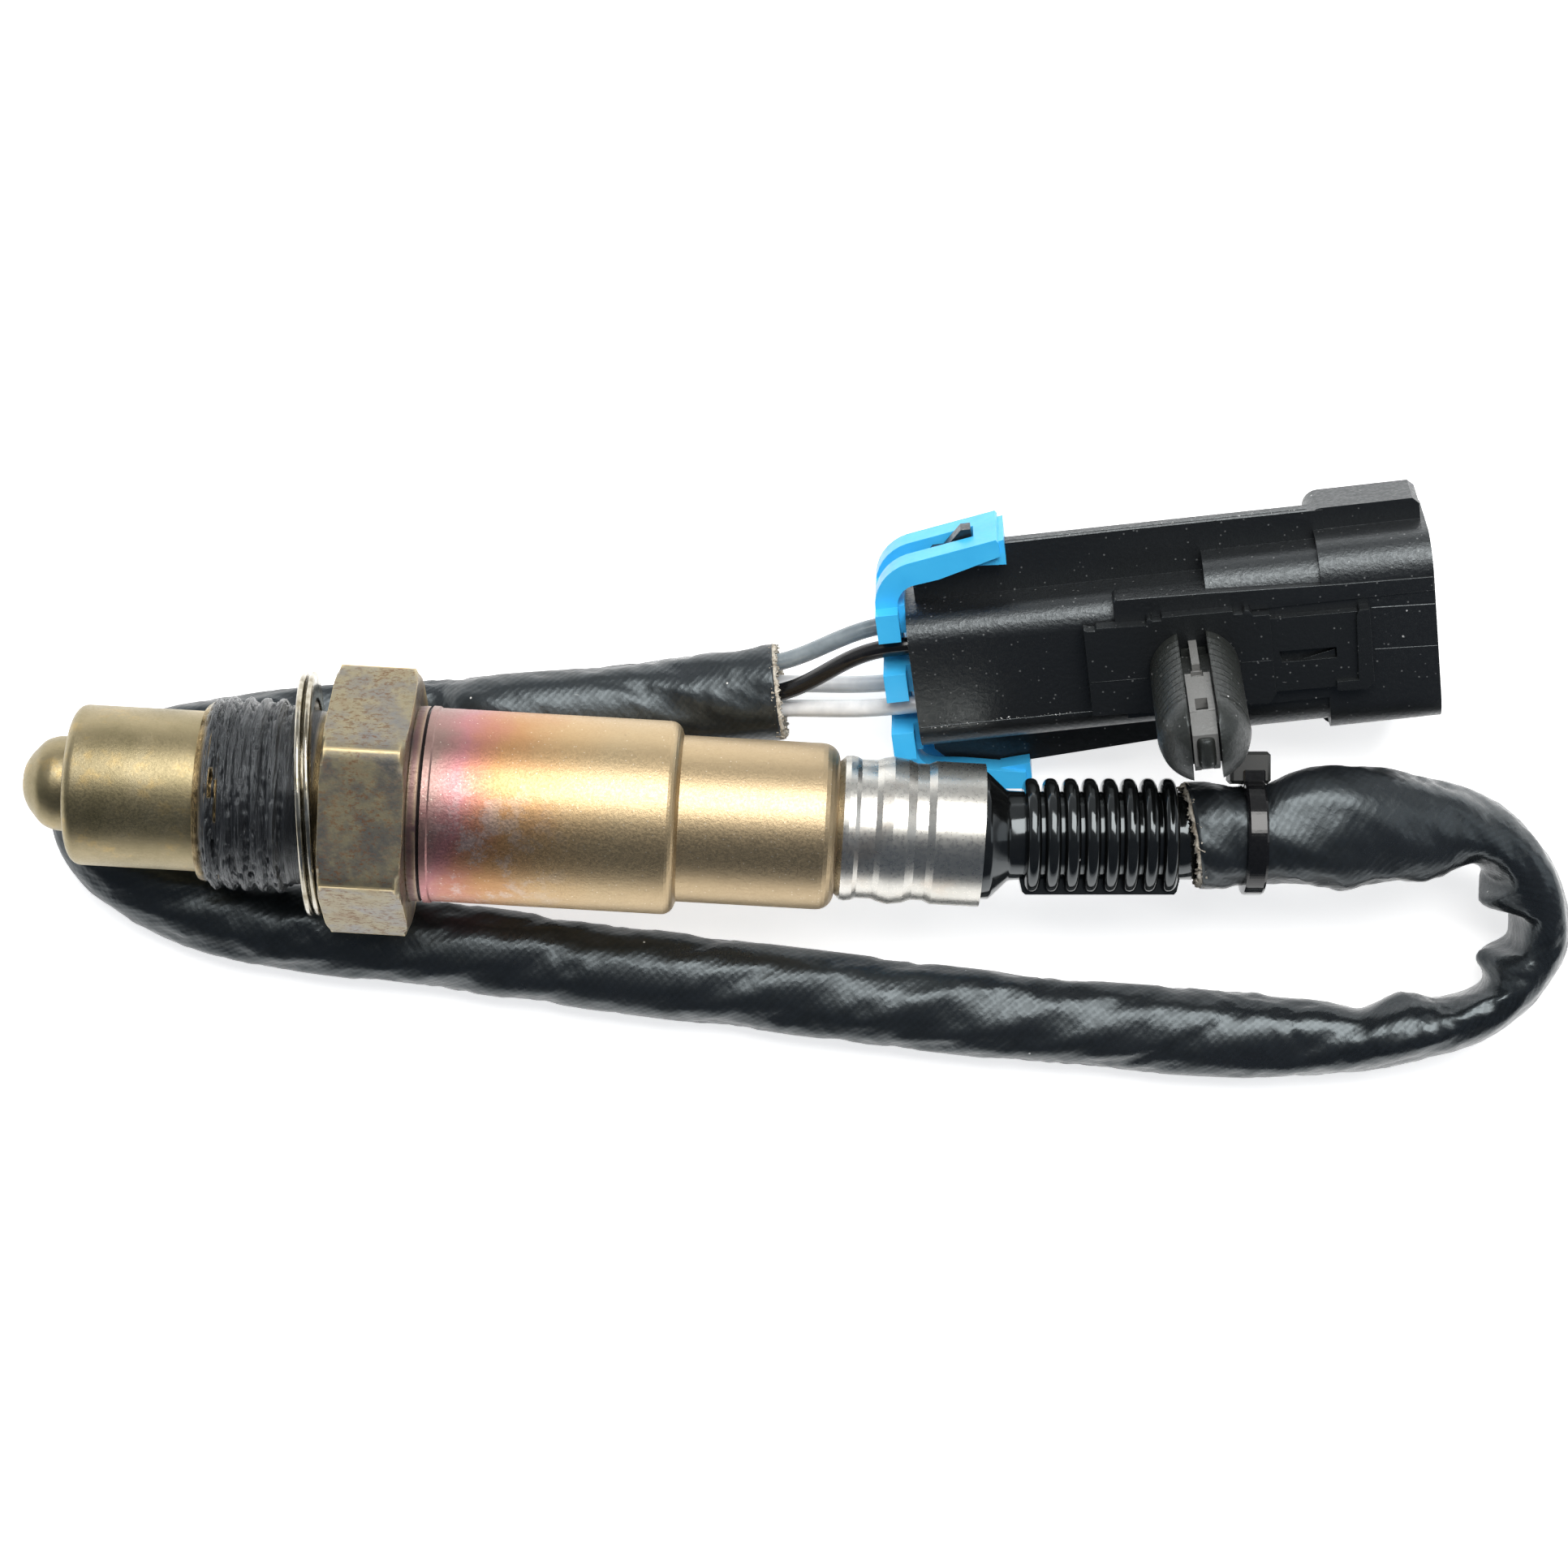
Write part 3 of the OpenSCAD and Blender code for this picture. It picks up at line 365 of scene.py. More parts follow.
class Web:
    """Short way to add and join nodes in a tree."""

    def __init__(self, tree):
        self.tree = tree

    def add(self, kind, inputs=None, **settings):
        node = self.tree.nodes.new(kind)
        for key, value in settings.items():
            setattr(node, key, value)
        for key, value in (inputs or {}).items():
            if isinstance(value, bpy.types.NodeSocket):
                self.tree.links.new(value, node.inputs[key])
            else:
                node.inputs[key].default_value = value
        return node

    def join(self, value, shader, name):
        self.tree.links.new(value, shader.inputs[name])

    def math(self, operation, a, b=0.0, c=0.0):
        return self.add("ShaderNodeMath", {0: a, 1: b, 2: c}, operation=operation).outputs[0]

    def times(self, a, b):
        return self.math("MULTIPLY", a, b)

    def ramp(self, value, stops):
        node = self.add("ShaderNodeValToRGB", {"Fac": value})
        while len(node.color_ramp.elements) < len(stops):
            node.color_ramp.elements.new(1.0)
        for element, (position, tone) in zip(node.color_ramp.elements, stops):
            element.position = position
            element.color = (*tone, 1)
        return node.outputs["Color"]

    def line(self, value, low, high):
        return self.add("ShaderNodeMapRange", {"Value": value, "From Min": low, "From Max": high}).outputs[0]

    def span(self, value, low, high, to_low=0.0, to_high=1.0):
        """Value between low and high, spread smoothly between to_low and to_high."""
        limits = {"Value": value, "From Min": low, "From Max": high, "To Min": to_low, "To Max": to_high}
        return self.add("ShaderNodeMapRange", limits, interpolation_type="SMOOTHSTEP").outputs[0]

    def mix(self, factor, a, b):
        node = self.add("ShaderNodeMix", data_type="RGBA")
        for key, value in ((0, factor), (6, a), (7, b)):
            if isinstance(value, bpy.types.NodeSocket):
                self.tree.links.new(value, node.inputs[key])
            else:
                node.inputs[key].default_value = (*value, 1) if key else value
        return node.outputs[2]

    def noise(self, vector, scale, detail=4.0, rough=0.55, distortion=0.0):
        return self.add("ShaderNodeTexNoise", {
            "Vector": vector, "Scale": scale, "Detail": detail, "Roughness": rough, "Distortion": distortion,
        }).outputs["Fac"]

    def cells(self, vector, scale):
        return self.add("ShaderNodeTexVoronoi", {"Vector": vector, "Scale": scale}).outputs

    def bump(self, height, distance):
        return self.add("ShaderNodeBump", {"Height": height, "Strength": 1.0, "Distance": distance}).outputs[0]

    def place(self):
        """The point on the piece, in metres."""
        return self.add("ShaderNodeTexCoord").outputs["Object"]

    def stretch(self, vector, scale, rotation=(0.0, 0.0, 0.0)):
        return self.add("ShaderNodeMapping", {"Vector": vector, "Scale": scale, "Rotation": rotation}).outputs[0]

    def axis(self, vector, number):
        return self.add("ShaderNodeSeparateXYZ", {0: vector}).outputs[number]

    def flow(self, number):
        """One number of the piece's own map: along it (0) or round it (1)."""
        return self.axis(self.add("ShaderNodeUVMap", uv_map="Flow").outputs[0], number)

    def group(self, name, **inputs):
        inputs = {key.replace("_", " "): value for key, value in inputs.items()}
        return self.add("ShaderNodeGroup", inputs, node_tree=bpy.data.node_groups[name]).outputs


def new_group(name, inputs, outputs):
    """Empty node group with its sockets: the group's web, its inputs and a function that sets an output."""
    tree = bpy.data.node_groups.new(name, "ShaderNodeTree")
    for key, value in inputs.items():
        tree.interface.new_socket(name=key, in_out="INPUT", socket_type="NodeSocketFloat").default_value = value
    for key, kind in outputs.items():
        tree.interface.new_socket(name=key, in_out="OUTPUT", socket_type=kind)
    web = Web(tree)
    given, out = web.add("NodeGroupInput").outputs, web.add("NodeGroupOutput")
    return web, given, lambda key, value: tree.links.new(value, out.inputs[key])


def grain_group():
    """Fine grain: a bump normal, the grain itself and a mask of specks for painted glints, in object space."""
    web, given, give = new_group(
        "Fine Grain", {"Scale": 2500.0, "Height": 0.00002, "Speck Scale": 3500.0},
        {"Normal": "NodeSocketVector", "Grain": "NodeSocketFloat", "Specks": "NodeSocketFloat"})
    place = web.place()
    fine = web.noise(place, given["Scale"], 3.0, 0.6)
    coarse = web.noise(place, web.times(given["Scale"], 0.23), 2.0, 0.5)
    give("Normal", web.bump(web.math("MULTIPLY_ADD", coarse, 0.5, fine), given["Height"]))
    give("Grain", fine)
    # specks that the finishes colour pale as painted glints of light on the grain
    cells = web.cells(place, given["Speck Scale"])
    chosen = web.math("GREATER_THAN", cells["Color"], 0.80)
    give("Specks", web.times(chosen, web.span(cells["Distance"], 0.30, 0.16)))


def dust_group():
    """Sparse lint and dust: small round specks and a few short hairs, as a mask."""
    web, given, give = new_group("Dust", {"Scale": 420.0, "Share": 0.06}, {"Mask": "NodeSocketFloat"})
    place = web.place()

    def picked(cells, channel, share, far, near):
        """Spots in the share of cells that a random channel picks."""
        chance = web.add("ShaderNodeSeparateColor", {"Color": cells["Color"]}).outputs[channel]
        return web.times(web.math("LESS_THAN", chance, share), web.span(cells["Distance"], far, near))

    dots = picked(web.cells(place, given["Scale"]), 0, given["Share"], 0.085, 0.04)
    warped = web.stretch(place, (1.0, 9.0, 1.0), (0.4, 0.9, 0.7))
    hairs = picked(
        web.cells(warped, web.times(given["Scale"], 0.3)), 1, web.times(given["Share"], 0.35), 0.07, 0.03)
    give("Mask", web.math("MAXIMUM", dots, web.times(hairs, 0.6)))


def weave_group():
    """Two crossing sets of yarns along a tube: a bump normal and a mottle of the yarns' crowns."""
    web, given, give = new_group(
        "Tube Weave", {"Pitch": 1.0, "Around": 22.0, "Height": 0.00006},
        {"Normal": "NodeSocketVector", "Crowns": "NodeSocketFloat"})
    along = web.math("DIVIDE", web.flow(0), given["Pitch"])
    around = web.times(web.flow(1), given["Around"])
    place = web.place()
    drift = web.times(web.noise(place, 150.0, 2.0), 0.8)
    one = web.math("SINE", web.times(web.math("ADD", web.math("ADD", along, around), drift), math.tau))
    two = web.math("SINE", web.times(web.math("SUBTRACT", along, around), math.tau))
    yarns = web.math("MULTIPLY_ADD", one, 0.34, web.math("MULTIPLY_ADD", two, 0.16, 0.5))
    wear = web.noise(place, 900.0, 3.0, 0.6)
    height = web.math("MULTIPLY_ADD", wear, 1.3, web.times(yarns, 0.32))
    give("Normal", web.bump(height, given["Height"]))
    give("Crowns", web.span(height, 0.58, 1.10))


# ---- finishes ----

def new_material(name, **settings):
    """Web and Principled shader of a new finish; its constant sockets are set here."""
    material = bpy.data.materials.new("Sensor." + name)
    material.use_nodes = True
    shader = material.node_tree.nodes["Principled BSDF"]
    for key, value in settings.items():
        shader.inputs[key.replace("_", " ")].default_value = value
    return Web(material.node_tree), shader


def finish(web, shader, tone, rough, normal):
    web.join(tone, shader, "Base Color")
    web.join(rough, shader, "Roughness")
    web.join(normal, shader, "Normal")


def cable_finish():
    """Rubbery woven sleeve, glossier and smoother round the bend."""
    web, shader = new_material("Braid", Specular_IOR_Level=0.68, Specular_Tint=(.84, .95, 1, 1))
    run = web.flow(0)
    bend = web.times(web.span(run, 16.0, 28.0), web.span(run, 82.0, 66.0))
    height = web.math("MULTIPLY_ADD", bend, -0.000016, 0.000035)
    weave = web.group("Tube Weave", Pitch=mm("yarn_pitch"), Around=size("yarns_around"), Height=height)
    crowns = weave["Crowns"]
    dust = web.group("Dust", Scale=620.0, Share=0.10)
    blotch = web.noise(web.place(), 120.0, 3.0)
    dark, light = tones("cable")
    tone = web.ramp(crowns, [(0.0, dark), (1.0, light)])
    tone = web.mix(web.span(blotch, 0.35, 0.7, 0.0, 0.5), tone, (.016, .018, .021))
    tone = web.mix(dust["Mask"], tone, (.62, .62, .60))
    rough = web.math("ADD", web.span(crowns, 0.0, 1.0, 0.41, 0.31), web.span(blotch, 0.4, 0.7, 0.0, -0.06))
    finish(web, shader, tone, web.math("MULTIPLY_ADD", bend, -0.09, rough), weave["Normal"])


def fibre_finish():
    """Cream fibres at the cable sleeve's cut ends."""
    web, shader = new_material("Fray", Specular_IOR_Level=0.25)
    place = web.place()
    tone = web.ramp(
        web.noise(place, 1400.0, 3.0), [(0.3, (.20, .17, .13)), (0.55, (.56, .51, .43)), (0.75, (.80, .76, .68))])
    rough = web.span(web.noise(place, 800.0), 0.3, 0.7, 0.75, 0.95)
    finish(web, shader, tone, rough, web.bump(web.noise(place, 2600.0, 2.0), 0.0001))


def boot_finish():
    """Glossy moulded rubber."""
    web, shader = new_material("Boot", Specular_IOR_Level=0.8, Specular_Tint=COOL)
    grain = web.group("Fine Grain", Scale=900.0, Height=0.000003)
    dust = web.group("Dust", Scale=640.0, Share=0.07)
    dark, light = tones("boot")
    tone = web.mix(dust["Mask"], web.ramp(grain["Grain"], [(0.2, dark), (0.9, light)]), (.40, .40, .40))
    finish(web, shader, tone, web.span(grain["Grain"], 0.25, 0.75, 0.09, 0.15), grain["Normal"])


def tie_finish():
    """Nylon: glossy strap and duller, paler ratchet head."""
    web, shader = new_material("Tie", Specular_IOR_Level=0.5)
    grain = web.group("Fine Grain", Scale=3200.0, Height=0.000003)
    head = web.math("GREATER_THAN", web.flow(1), 2.0)
    dark, light = tones("tie")
    tone = web.mix(head, web.ramp(grain["Grain"], [(0.2, dark), (0.9, light)]), (.022, .023, .022))
    rough = web.math("MULTIPLY_ADD", head, 0.30, web.span(grain["Grain"], 0.25, 0.75, 0.09, 0.15))
    finish(web, shader, tone, rough, grain["Normal"])


def plug_finish(key, level, flash):
    """Grained black plastic with painted glints on specks of its grain; what is marked as flash is paler."""
    web, shader = new_material(key.title(), Specular_IOR_Level=level, Specular_Tint=COOL)
    grain = web.group("Fine Grain", Scale=2600.0, Height=0.00005, Speck_Scale=2600.0)
    dust = web.group("Dust", Scale=700.0, Share=0.08)
    dark, light = tones(key)
    tone = web.ramp(grain["Grain"], [(0.25, dark), (0.8, light)])
    # painted glints: pale specks that stand in for sparkle of light on the grain
    tone = web.mix(web.times(grain["Specks"], 0.26), tone, (.45, .46, .46))
    tone = web.mix(web.math("GREATER_THAN", web.flow(1), 5.0), tone, flash)
    tone = web.mix(dust["Mask"], tone, (.5, .5, .5))
    finish(web, shader, tone, web.span(grain["Grain"], 0.3, 0.75, 0.46, 0.28), grain["Normal"])


def lock_finish():
    """Sky-blue plastic."""
    web, shader = new_material("Lock", Specular_IOR_Level=0.45)
    grain = web.group("Fine Grain", Scale=1500.0, Height=0.000012)
    dark, light = tones("lock")
    tone = web.ramp(web.noise(web.place(), 240.0, 2.0), [(0.3, dark), (0.75, light)])
    finish(web, shader, tone, web.span(grain["Grain"], 0.3, 0.7, 0.28, 0.38), grain["Normal"])


def plain_finish(name, dark, light, rough, scale=1500.0, **settings):
    """Grain between two tones, for the wires and for the pieces inside."""
    web, shader = new_material(name, **settings)
    grain = web.group("Fine Grain", Scale=scale, Height=0.00001)
    tone = web.ramp(grain["Grain"], [(0.25, dark), (0.75, light)])
    finish(web, shader, tone, web.span(grain["Grain"], 0.3, 0.7, *rough), grain["Normal"])


def crimp_finish():
    """Bright steel with brown stains."""
    web, shader = new_material("Crimp", Metallic=1.0)
    grain = web.group("Fine Grain", Scale=3000.0, Height=0.0000015)
    place = web.place()
    stain = web.span(web.noise(place, 170.0, 4.0, 0.65), 0.52, 0.72)
    tone = web.ramp(web.noise(place, 90.0, 3.0), [(0.3, (.55, .535, .49)), (0.7, (.66, .65, .62))])
    tone = web.mix(web.times(stain, 0.35), tone, (.55, .43, .33))
    finish(web, shader, tone, web.span(grain["Grain"], 0.3, 0.7, 0.26, 0.34), grain["Normal"])


def sleeve_finish():
    """Heat-tinted steel: purple, orange and gold away from the hexagon, with pale patches, dark stains and painted
    glints on its grain.
    """
    web, shader = new_material("Sleeve", Metallic=1.0)
    grain = web.group("Fine Grain", Scale=4200.0, Height=0.00002, Speck_Scale=3800.0)
    place = web.place()
    x, y = web.axis(place, 0), web.axis(place, 1)
    drift = web.math("MULTIPLY_ADD", web.noise(place, 130.0, 4.0, 0.6), 0.010, -0.005)
    shade = web.math("MULTIPLY_ADD", y, -0.12, web.math("ADD", x, drift))
    tone = web.ramp(web.line(shade, 0.008, 0.048), [
        (0.00, (.28, .185, .165)), (0.04, (.34, .185, .175)), (0.085, (.41, .185, .19)), (0.135, (.44, .20, .14)),
        (0.21, (.46, .255, .12)), (0.32, (.48, .335, .18)), (0.475, (.465, .355, .21)), (1.00, (.445, .345, .215)),
    ])
    patch = web.span(web.noise(place, 380.0, 6.0, 0.75), 0.49, 0.60)
    zone = web.times(web.span(x, 0.0255, 0.012), web.span(y, 0.004, -0.002))
    zone = web.times(zone, web.span(x, 0.009, 0.013))
    tone = web.mix(web.times(web.times(patch, zone), 0.5), tone, (.52, .49, .48))
    stains = web.span(web.noise(place, 700.0, 3.0, 0.7), 0.70, 0.76)
    tone = web.mix(web.times(stains, 0.35), tone, (.16, .12, .08))
    # painted glints: pale cream specks that stand in for sparkle of light on the blasted grain
    tone = web.mix(web.times(grain["Specks"], 0.35), tone, (.95, .90, .78))
    finish(web, shader, tone, web.span(grain["Grain"], 0.3, 0.7, 0.37, 0.49), grain["Normal"])


def tube_finish():
    """Warm satin steel of the tip, with gold patches."""
    web, shader = new_material("Tube", Metallic=1.0)
    grain = web.group("Fine Grain", Scale=4200.0, Height=0.000013)
    place = web.place()
    tone = web.ramp(web.noise(place, 160.0, 4.0, 0.6), [
        (0.3, (.225, .19, .105)), (0.55, (.305, .255, .15)), (0.8, (.375, .325, .215)),
    ])
    gold = web.span(web.noise(place, 330.0, 5.0, 0.7), 0.54, 0.68)
    tone = web.mix(web.times(gold, 0.42), tone, (.47, .33, .13))
    finish(web, shader, tone, web.span(grain["Grain"], 0.3, 0.7, 0.37, 0.49), grain["Normal"])


def gasket_finish():
    """Worn nickel."""
    web, shader = new_material("Gasket", Metallic=1.0)
    grain = web.group("Fine Grain", Scale=900.0, Height=0.00002)
    tone = web.ramp(web.noise(web.place(), 420.0, 4.0, 0.65), [
        (0.35, (.22, .19, .13)), (0.5, (.40, .37, .30)), (0.7, (.54, .52, .47)),
    ])
    finish(web, shader, tone, web.span(grain["Grain"], 0.3, 0.7, 0.16, 0.28), grain["Normal"])


def hexagon_finish():
    """Tarnished steel with rust, painted highlights on its edges and corners, a purple collar and a dark groove."""
    web, shader = new_material("Hexagon", Metallic=0.9)
    grain = web.group("Fine Grain", Scale=3500.0, Height=0.000012)
    place = web.place()
    cloud = web.noise(place, 260.0, 5.0, 0.68)
    tone = web.ramp(cloud, [
        (0.30, (.165, .17, .173)), (0.45, (.22, .20, .16)), (0.56, (.285, .252, .165)), (0.72, (.25, .185, .115)),
    ])
    rust = web.span(web.noise(web.stretch(place, (0.55, 1.0, 1.0)), 3000.0, 5.0, 0.75), 0.51, 0.59)
    often = web.span(web.noise(place, 200.0, 3.0), 0.35, 0.6, 0.15, 0.75)
    tone = web.mix(web.times(rust, often), tone, (.16, .070, .030))
    behind = web.axis(place, 0)
    tone = web.mix(web.span(behind, 0.0074, 0.0080, 0.0, 0.85), tone, (.17, .095, .10))
    tone = web.mix(web.span(behind, 0.00855, 0.00865), tone, (.035, .030, .030))
    # painted highlight: a pale gold line along the hexagon's sharp edges
    edge = web.add("ShaderNodeNewGeometry").outputs["Pointiness"]
    tone = web.mix(web.span(edge, 0.53, 0.60), tone, (.78, .64, .36))
    # painted highlight: pale lines along the hexagon's corners, in front of the collar
    turn = web.math("MULTIPLY_ADD", web.flow(1), 6.0, 0.5)
    corner = web.math("ABSOLUTE", web.math("SUBTRACT", web.math("FRACT", turn), 0.5))
    corner = web.times(web.span(corner, 0.020, 0.006), web.span(behind, 0.0072, 0.0068))
    tone = web.mix(corner, tone, (.62, .50, .29))
    rough = web.math("ADD", web.span(cloud, 0.3, 0.7, 0.36, 0.50), web.times(rust, 0.12))
    finish(web, shader, tone, rough, grain["Normal"])


def thread_finish():
    """Torn dark paste, with bare gold where it has rubbed off."""
    web, shader = new_material("Thread", Specular_IOR_Level=1.0, Specular_Tint=(.9, .96, 1, 1))
    place = web.place()
    streak = web.stretch(place, (3.4, 0.10, 0.10))
    torn = web.noise(streak, 620.0, 5.0, 0.7)
    x, y = web.axis(place, 0), web.axis(place, 1)
    bare = web.math("MAXIMUM", web.span(x, -0.0014, -0.0006), web.span(x, -0.0108, -0.0116))
    # two rubbed stripes near the front end: place along, and from where to where across
    for middle, low, high in ((-0.01020, -0.0006, 0.0024), (-0.00962, -0.0028, 0.0014)):
        narrow = web.span(web.math("ABSOLUTE", web.math("SUBTRACT", x, middle)), 0.00020, 0.00010)
        within = web.times(web.span(y, low, low + 0.0004), web.span(y, high, high - 0.0004))
        bare = web.math("MAXIMUM", bare, web.times(narrow, within))
    bare = web.math("MAXIMUM", bare, web.times(web.span(torn, 0.60, 0.66), web.span(x, -0.0085, -0.0102)))
    paste = web.ramp(torn, [(0.25, (.005, .0055, .006)), (0.5, (.017, .018, .020)), (0.7, (.055, .058, .062))])
    gold = web.ramp(web.noise(place, 500.0), [(0.3, (.18, .13, .065)), (0.7, (.50, .38, .20))])
    web.join(web.span(bare, 0.3, 0.7), shader, "Metallic")
    bump = web.bump(web.noise(streak, 1500.0, 6.0, 0.72), 0.00024)
    finish(web, shader, web.mix(bare, paste, gold), web.span(torn, 0.3, 0.7, 0.28, 0.12), bump)


def make_finishes():
    cable_finish()
    fibre_finish()
    boot_finish()
    tie_finish()
    plug_finish("housing", 0.8, (.42, .42, .41))
    plug_finish("clip", 0.6, (.17, .17, .165))
    plug_finish("stem", 0.45, (.17, .17, .165))
    lock_finish()
    for key in ("wire_black", "wire_grey", "wire_white"):
        plain_finish(key, *tones(key), (0.16, 0.26), 700.0, Specular_IOR_Level=0.5)
    for name, dark, light, rough, metal in (
        ("Ceramic", (.70, .68, .62), (.84, .82, .77), (0.45, 0.6), 0.0),
        ("Talc", (.50, .52, .50), (.62, .64, .61), (0.7, 0.85), 0.0),
        ("Grommet", (.72, .72, .69), (.84, .84, .81), (0.3, 0.42), 0.0),
        ("Contact", (.62, .52, .34), (.80, .70, .50), (0.22, 0.36), 1.0),
        ("Seal", (.17, .022, .012), (.30, .05, .028), (0.35, 0.5), 0.0),
    ):
        plain_finish(name, dark, light, rough, Metallic=metal)
    crimp_finish()
    sleeve_finish()
    tube_finish()
    gasket_finish()
    hexagon_finish()
    thread_finish()


# ---- pieces ----

def cable_rows():
    """Centreline rows of the cable: x, y, z, width, height, every 0.4 mm."""
    loose, tied = 9.9, mm("cable_tied")
    start = (
        (S_BOOT_END, loose), (S_BOOT_END + 2.5, loose), (S_TIE - 1.6, tied), (S_TIE, tied), (S_TIE + 1.6, tied),
    )
    rows = [(*boot_point(s), width, width) for s, width in start]
    return even(catmull(rows + ROUTE, 20), 0.4)


def inner_points(pts):
    """For each centreline point round the bend, the point of the creased inner wall that faces it."""
    edge = [Vector((*p, 0)) for p in catmull(INNER_EDGE, 6)]
    edge_run, road_run = runs(edge), runs(pts)
    # the bend is in the first part of the cable, and the last part passes the same places
    first_part = range(math.ceil(len(pts) * 0.55))

    def nearest(points, place, choose):
        return min(choose, key=lambda i: (points[i].x - place[0]) ** 2 + (points[i].y - place[1]) ** 2)

    marks = [
        (road_run[nearest(pts, a, first_part)], edge_run[nearest(edge, b, range(len(edge)))]) for a, b in FACING
    ]
    found = [None] * len(pts)
    for i, run in enumerate(road_run):
        if not marks[0][0] <= run <= marks[-1][0]:
            continue
        for (r0, e0), (r1, e1) in zip(marks, marks[1:]):
            if r0 <= run <= r1:
                goal = e0 + (e1 - e0) * (run - r0) / (r1 - r0)
                k = next((n for n in range(1, len(edge_run)) if edge_run[n] >= goal), len(edge_run) - 1)
                share = (goal - edge_run[k - 1]) / max(1e-6, edge_run[k] - edge_run[k - 1])
                found[i] = edge[k - 1].lerp(edge[k], share)
                break
    return found


def cable_skin(rows):
    """Points and uvs of the cable sleeve's outer wall: folds, the creased bend and the slanted first end."""
    pts = [Vector(r[:3]) for r in rows]
    facing = inner_points(pts)
    spans = [i for i, f in enumerate(facing) if f is not None]
    fade_rows, slant_rows, roundness, fold = 14, 12, 0.90, 0.075
    verts, uvs = [], []
    for i, (p, r, run) in enumerate(zip(pts, rows, runs(pts))):
        t = tangent(pts, i)
        across = Vector((-t.y, t.x, 0)).normalized()
        up = t.cross(across)
        if up.z < 0:
            up = -up
        half = r[3] / 2
        inner = -across * half
        if facing[i] is not None:
            fade = min(1.0, (i - spans[0]) / fade_rows, (spans[-1] - i) / fade_rows)
            inner = inner.lerp(Vector((facing[i].x - p.x, facing[i].y - p.y, 0)), max(0.0, fade))
        for k in range(CABLE_SIDES):
            a = math.tau * k / CABLE_SIDES
            c, s = math.cos(a), math.sin(a)
            # a wall that is pushed far in is also lower there
            spare = max(0.0, inner.length - half - 0.3) if c < 0 else 0.0
            drop = 1 - min(0.62, spare * 0.30) * c * c
            x = abs(c) ** roundness
            z = math.copysign(abs(s) ** roundness, s) * r[4] / 2 * drop
            side = across * x * half if c > 0 else inner * x
            bump = noise.fractal(Vector((p.x * .14 + c * 1.1, p.y * .14, s * 1.1 + i * .004)), 0.9, 2.1, 3)
            fine = noise.noise(Vector((run * .9, c * 3, s * 3)))
            shrink = 1 - max(0.0, 0.30 + bump * 1.25 + fine * 0.35) * fold
            q = p + side * shrink + up * z * shrink
            q -= t * 0.15 * (x * half if c > 0 else -x * half) * max(0.0, 1 - i / slant_rows)
            q.z = max(q.z, REST_Z + 0.02)
            verts.append(q)
            uvs.append((run, k / CABLE_SIDES))
    return verts, uvs


def build_cable():
    """Cable sleeve with its crease lines and hollow cut ends, and its frayed fibres."""
    rows = cable_rows()
    pts = [Vector(r[:3]) for r in rows]
    count, sides = len(rows), CABLE_SIDES
    verts, uvs = cable_skin(rows)
    faces = bands(count, sides)
    # rolled-in wall at both cut ends: depth inside, and share of the outer radius
    for ring, step in ((0, 1), (count - 1, -1)):
        outer = [ring * sides + k for k in range(sides)]
        centre = pts[ring]
        t = (pts[ring + step] - centre).normalized()
        last = outer
        for depth, keep in ((0.0, 0.86), (1.2, 0.84), (5.0, 0.82)):
            new = []
            for k in outer:
                new.append(len(verts))
                verts.append(centre + t * depth + (verts[k] - centre) * keep)
                uvs.append((uvs[k][0] + depth, uvs[k][1]))
            for k in range(sides):
                j = (k + 1) % sides
                quad = (last[k], new[k], new[j], last[j])
                faces.append(quad if step == 1 else quad[::-1])
            last = new
        faces.append(tuple(last) if step == -1 else tuple(last[::-1]))
    settle(add_object("cable_sleeve", verts, faces, uvs), "Braid", "braid_black", "braided_sleeve")
    # fibres stand on both rims, which lean as the ends do: ring, step inwards, number of fibres
    rng = random.Random(7)
    fibres = []
    for ring, step, amount in ((0, 1, 420), (count - 1, -1, 520)):
        centre = pts[ring]
        t = (pts[ring + step] - centre).normalized()
        for _ in range(amount):
            k = rng.randrange(sides)
            f = rng.random()
            rim = verts[ring * sides + k].lerp(verts[ring * sides + (k + 1) % sides], f)
            out = (rim - centre).normalized()
            side = out.cross(t)
            depth = rng.uniform(0.86, 0.985)
            root = centre + (rim - centre) * depth + t * rng.uniform(0.1, 0.5)
            reach = rng.uniform(0.25, 0.75)
            bend = side * rng.uniform(-0.5, 0.5) + out * rng.uniform(-0.28, 0.05)
            mid = root - t * reach * 0.6 + bend * 0.4
            tip = root - t * reach + bend
            for q in (root, mid, tip):
                q.z = max(q.z, REST_Z + 0.15)
            thick = rng.uniform(0.07, 0.17)
            fibres.append(tube([root, mid, tip], lambda s: thick * (1 - 0.3 * s), 5))
        band = []
        for k in range(sides + 1):
            rim = verts[ring * sides + k % sides]
            wave = 0.10 * math.sin(k * 2.1) + rng.uniform(-0.08, 0.08)
            band.append(centre + (rim - centre) * 0.935 - t * (0.12 + wave))
        fibres.append(tube(band, lambda s: 0.15 + 0.11 * abs(math.sin(s * 83)), 7, caps=False))
    settle(add_object("cable_fray", *merge(fibres)), "Fray", "braid_black")


